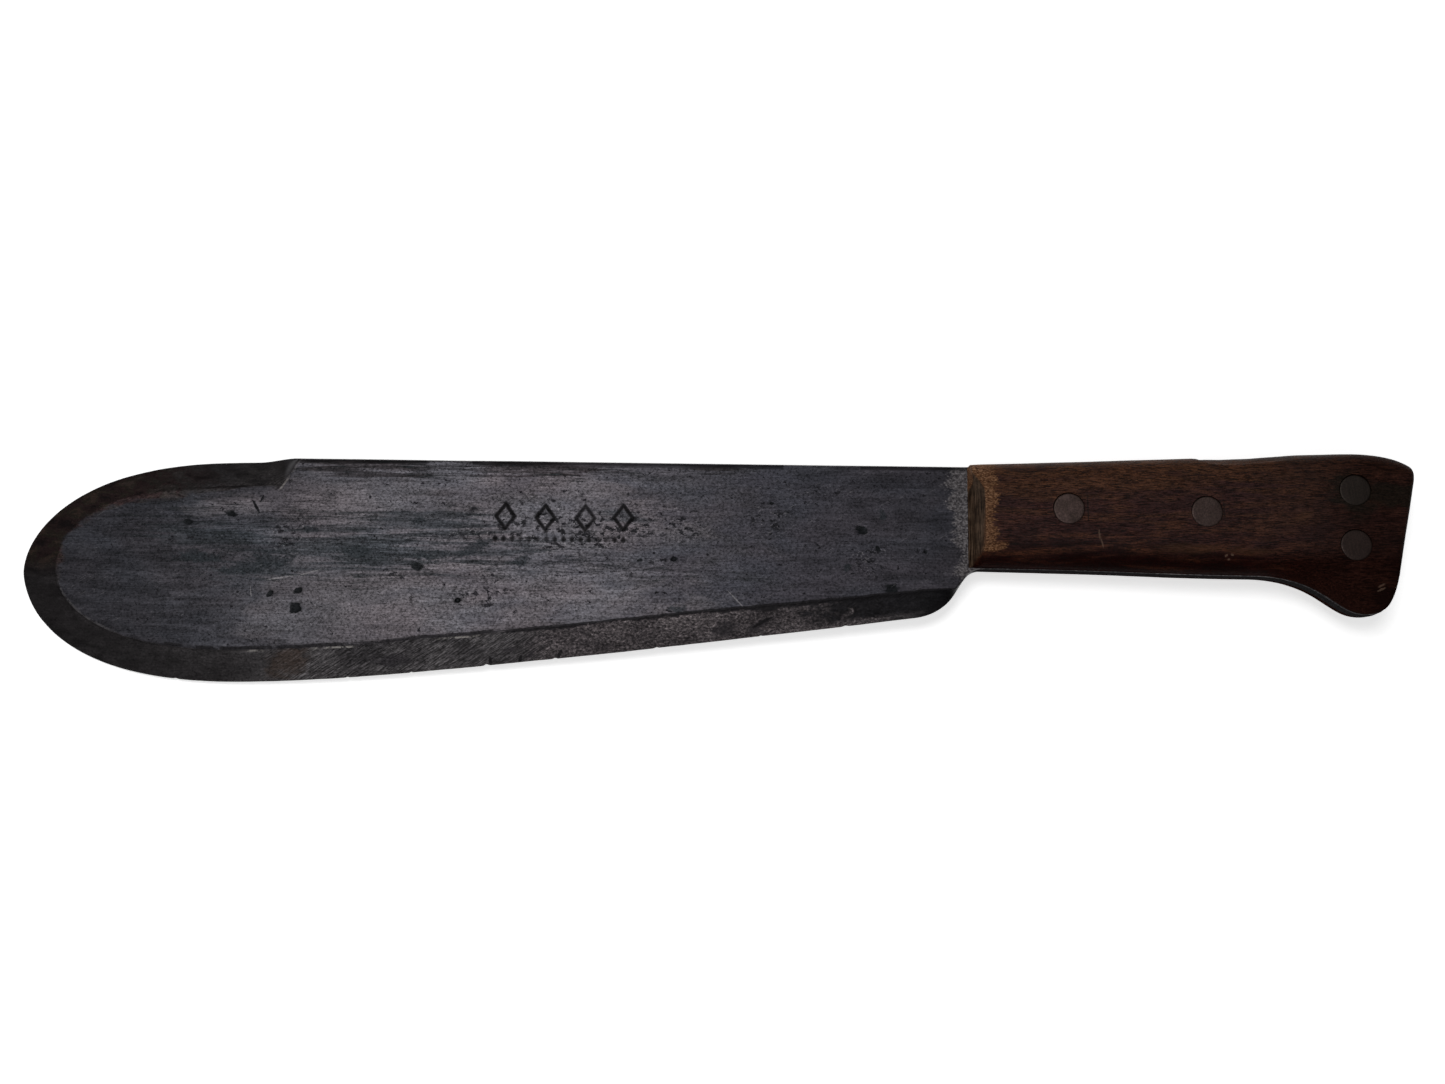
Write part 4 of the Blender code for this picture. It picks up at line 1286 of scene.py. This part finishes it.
def wood_material():
    """Dark red-brown hardwood, oiled by use, raw and pale where the front has been rubbed."""
    w = Weave("scale_wood_worn")
    grain = w.noise((8, 0.3, 0.45), 4, 0.66, 1)
    broad = w.noise((38, 4.2, 5), 5, 0.55, 1)
    pores = w.noise((2.6, 0.2, 0.3), 3, 0.55, 0.5)
    mottle = w.noise((8, 3.4, 4), 4, 0.5, 0.3)
    fine = w.noise((0.7, 0.3, 0.35), 3, 0.65)

    tone = wood_tone(w, grain, broad, mottle)
    tone = w.shade(tone, mottle, (0.36, 0.84, 0.86, 0.88), (0.64, 1.18, 1.14, 1.12))
    tone = w.shade(tone, fine, (0.36, 0.6), (0.5, 1), (0.66, 1.55), share=0.9)
    dark_pores = w.step(pores, 0.47, 0.41)
    tone = w.cover(tone, WOOD_PORE, dark_pores, 0.9)
    tone = w.cover(tone, WOOD_TAN, w.patches(WOOD_TAN_PATCHES, 0.9, 1.2, grain), 0.4)
    oily = w.between(fine, (0.0055, 0.0042, 0.003), (0.0165, 0.0125, 0.0085))
    tone = w.cover(tone, oily, w.patches(WOOD_STAINS, 0.7, 0.8, mottle), 0.8)
    tone = w.cover(tone, WOOD_DARK, w.patches(WOOD_DARKS, 0.7, 1, mottle), 0.6)
    tone = w.cover(tone, WOOD_LINE, w.patches(WOOD_LINES, 0.5, 0.8, fine), 0.75)
    tone = w.cover(tone, WOOD_NICK, w.patches(WOOD_NICKS, 0.6, 0.7, fine), 0.5)

    ragged = w.sum(w.times(w.noise((4, 0.7, 2), 5, 0.7), 0.6), w.times(mottle, 0.4))
    outwards = w.math("ABSOLUTE", w.z)
    past_front = w.sum(w.x, w.fit(outwards, SCALE_BASE, HALF_GRIP, 0, -3.6),
                       w.times(w.step(w.y, -10, -1.5), 4.6))
    past_raw = w.sum(w.x, w.fit(ragged, *TONE_SPAN, -2, 2))
    bare = w.times(w.step(past_front, 0.1, 0.8), w.step(past_raw, 7.8, 7.2), w.step(w.y, -26.8, -25.4))
    bare = w.widest(bare, w.patches(RAW_LEAF, 0.3, 0.3, grain))
    glow = w.step(w.sum(past_raw, w.fit(fine, *TONE_SPAN, -1.2, 1.2)), 7.5, 3.5)
    raw = w.ramp(fine, (0.37, 0.036, 0.013, 0.005), (0.5, 0.118, 0.05, 0.022), (0.62, 0.29, 0.155, 0.082))
    raw = w.cover(raw, w.mix(1, raw, RAW_GLOW, "MULTIPLY"), glow, 0.45)
    tone = w.cover(tone, raw, bare, 0.9)

    sawn = w.noise((0.17, 6, 8), 3, 0.6, 0.15)
    end_grain = w.ramp(sawn, (0.38, 0.018, 0.011, 0.007), (0.5, 0.064, 0.038, 0.024),
                       (0.62, 0.135, 0.09, 0.06))
    front = w.step(past_front, 0.75, 0.15)
    tone = w.mix(front, tone, w.shade(end_grain, mottle, (0.38, 0.7), (0.62, 1.25)))
    chip = w.times(w.step(w.x, 68, 71), w.step(w.x, 101, 97), w.step(w.y, 0.9, 1.6))
    w.feed(w.shader.inputs["Base Color"], w.cover(tone, CHIPPED_WOOD, chip, 0.5))

    gloss = w.step(w.y, -31, -24, 0.52, 0.58)
    roughness = w.sum(gloss, w.swing(fine, -0.06, 0.08), w.times(bare, 0.2), w.times(front, 0.2))
    w.feed(w.shader.inputs["Roughness"], roughness)
    belly_shine = w.step(w.x, 85, 100, 0.05, 0)
    shine = w.times(w.step(outwards, 2, 10), w.step(w.y, -31, -24, belly_shine, 1),
                    w.step(w.x, 100, 122, 1, 0.3))
    w.feed(w.shader.inputs["Specular IOR Level"], w.times(shine, 0.14))
    relief = w.sum(w.times(grain, 0.9), w.times(pores, 0.5), w.times(fine, 0.35), w.times(dark_pores, -0.6),
                   w.times(sawn, front, 0.8))
    w.feed(w.shader.inputs["Normal"], w.bump(relief, 0.14, 0.9))
    return w.material


BRONZE_MIDDLE = (0.028, 0.0165, 0.0135)
BRONZE_BUTT = (0.022, 0.0125, 0.01)
BRONZE_OILED = (0.015, 0.0122, 0.0088)


def rivet_material():
    """Dull aged bronze, darker towards the butt."""
    w = Weave("rivet_metal_aged")
    cloud = w.noise((5, 4, 4), 6, 0.62)
    speckle = w.noise((0.6, 0.5, 0.4), 4, 0.7)
    filing = w.noise((0.22, 4, 3), 3, 0.5, 0.3, 8)
    colour = w.ramp(cloud, (0.38, 0.04, 0.025, 0.021), (0.5, 0.058, 0.036, 0.032),
                    (0.62, 0.076, 0.05, 0.044))
    colour = w.cover(colour, BRONZE_MIDDLE, w.step(w.x, 40, 60), 0.5)
    at_butt = w.step(w.x, 95, 110)
    colour = w.cover(colour, BRONZE_BUTT, at_butt, 0.75)
    colour = w.cover(colour, BRONZE_OILED, at_butt, w.step(w.y, -18, -13), 0.6)
    colour = w.shade(colour, speckle, (0.34, 0.6), (0.5, 1), (0.66, 1.4))
    colour = w.shade(colour, filing, (0.38, 0.75), (0.62, 1.25), share=0.6)
    w.feed(w.shader.inputs["Base Color"], colour)
    w.feed(w.shader.inputs["Roughness"], w.swing(speckle, 0.58, 0.46))
    w.shader.inputs["Metallic"].default_value = 0.75
    w.feed(w.shader.inputs["Normal"], w.bump(w.sum(w.times(filing, 0.6), speckle), 0.03, 0.7))
    return w.material


# ---- stage

# The knife rests on the front foot of its right scale and on the underside of its tip.
FOOT_X = 3.5
REST_TIP_HEIGHT = HALF_GRIP - HALF_EDGE
FLOOR_SIZE = 8
LOOK_OFFSET = Vector((0.00155, 0.00815, 0))
CAMERA_OFFSET = Vector((0.0014, -0.10495, 0.55))
CAMERA_ROLL = math.radians(0.77)
CAMERA_LENS = 44.92
CAMERA_SENSOR = 36
FLOOR_GLOW = 0.6
FLOOR_GREY = 0.93
WORLD_GLOW = 0.1

# Square area lights as (name, place, width and height, power).
LIT_PLACE = (-0.06, 0, 0)
SOFTBOXES = (("key_softbox", (-0.24, 0.23, 1.5), (0.5, 0.45), 9),
             ("grind_softbox", (-0.25, -0.55, 1.5), (0.5, 0.4), 3))


def make_floor():
    """A large pale board, tilted to touch the knife where it would rest."""
    foot = SHIFT.x + FOOT_X * MM
    tip = SHIFT.x + TIP_X * MM
    slope = REST_TIP_HEIGHT * MM / (tip - foot)
    half = FLOOR_SIZE / 2
    plan = ((-half, -half), (half, -half), (half, half), (-half, half))
    corners = [(x, y, slope * (x - foot)) for x, y in plan]
    mesh = bpy.data.meshes.new("floor")
    mesh.from_pydata(corners, [], [(0, 1, 2, 3)])
    paint = bpy.data.materials.new("floor_paint")
    paint.use_nodes = True
    shader = paint.node_tree.nodes["Principled BSDF"].inputs
    shader["Base Color"].default_value = (FLOOR_GREY, FLOOR_GREY, FLOOR_GREY, 1)
    shader["Roughness"].default_value = 0.9
    shader["Emission Color"].default_value = (1, 1, 1, 1)
    shader["Emission Strength"].default_value = FLOOR_GLOW
    mesh.materials.append(paint)
    placed("floor", mesh)


def add_lights():
    """A dim white surround with two softboxes over the blade."""
    world = bpy.data.worlds.new("studio")
    world.use_nodes = True
    background = world.node_tree.nodes["Background"]
    background.inputs["Color"].default_value = (1, 1, 1, 1)
    background.inputs["Strength"].default_value = WORLD_GLOW
    bpy.context.scene.world = world
    for name, place, size, power in SOFTBOXES:
        light = bpy.data.lights.new(name, "AREA")
        light.shape = "RECTANGLE"
        light.size, light.size_y = size
        light.energy = power
        softbox = placed(name, light)
        softbox.location = place
        softbox.rotation_euler = (Vector(LIT_PLACE) - Vector(place)).to_track_quat("-Z", "Y").to_euler()


def add_camera():
    """The camera stands over the blade and a little towards its edge."""
    low, high = (Vector(corner) for corner in CAD_BOX)
    centre = (low + high) / 2
    look, place = centre + LOOK_OFFSET, centre + LOOK_OFFSET + CAMERA_OFFSET
    back = (place - look).normalized()
    right = Vector((math.cos(CAMERA_ROLL), math.sin(CAMERA_ROLL), 0))
    right = (right - back * right.dot(back)).normalized()
    turn = Matrix((right, back.cross(right), back)).transposed()
    data = bpy.data.cameras.new("camera")
    data.sensor_width = CAMERA_SENSOR
    data.lens = CAMERA_LENS
    data.clip_start = 0.01
    camera = placed("camera", data)
    camera.matrix_world = Matrix.Translation(place) @ turn.to_4x4()
    bpy.context.scene.camera = camera


def main():
    steel, wood, bronze = steel_material(), wood_material(), rivet_material()
    make_blade(steel)
    make_scale("left_scale_worn", "left_scale", 1, wood)
    make_scale("right_scale_worn", "right_scale", -1, wood)
    make_rivets(bronze)
    make_floor()
    add_lights()
    add_camera()
    bpy.context.scene.view_settings.view_transform = "Standard"


main()
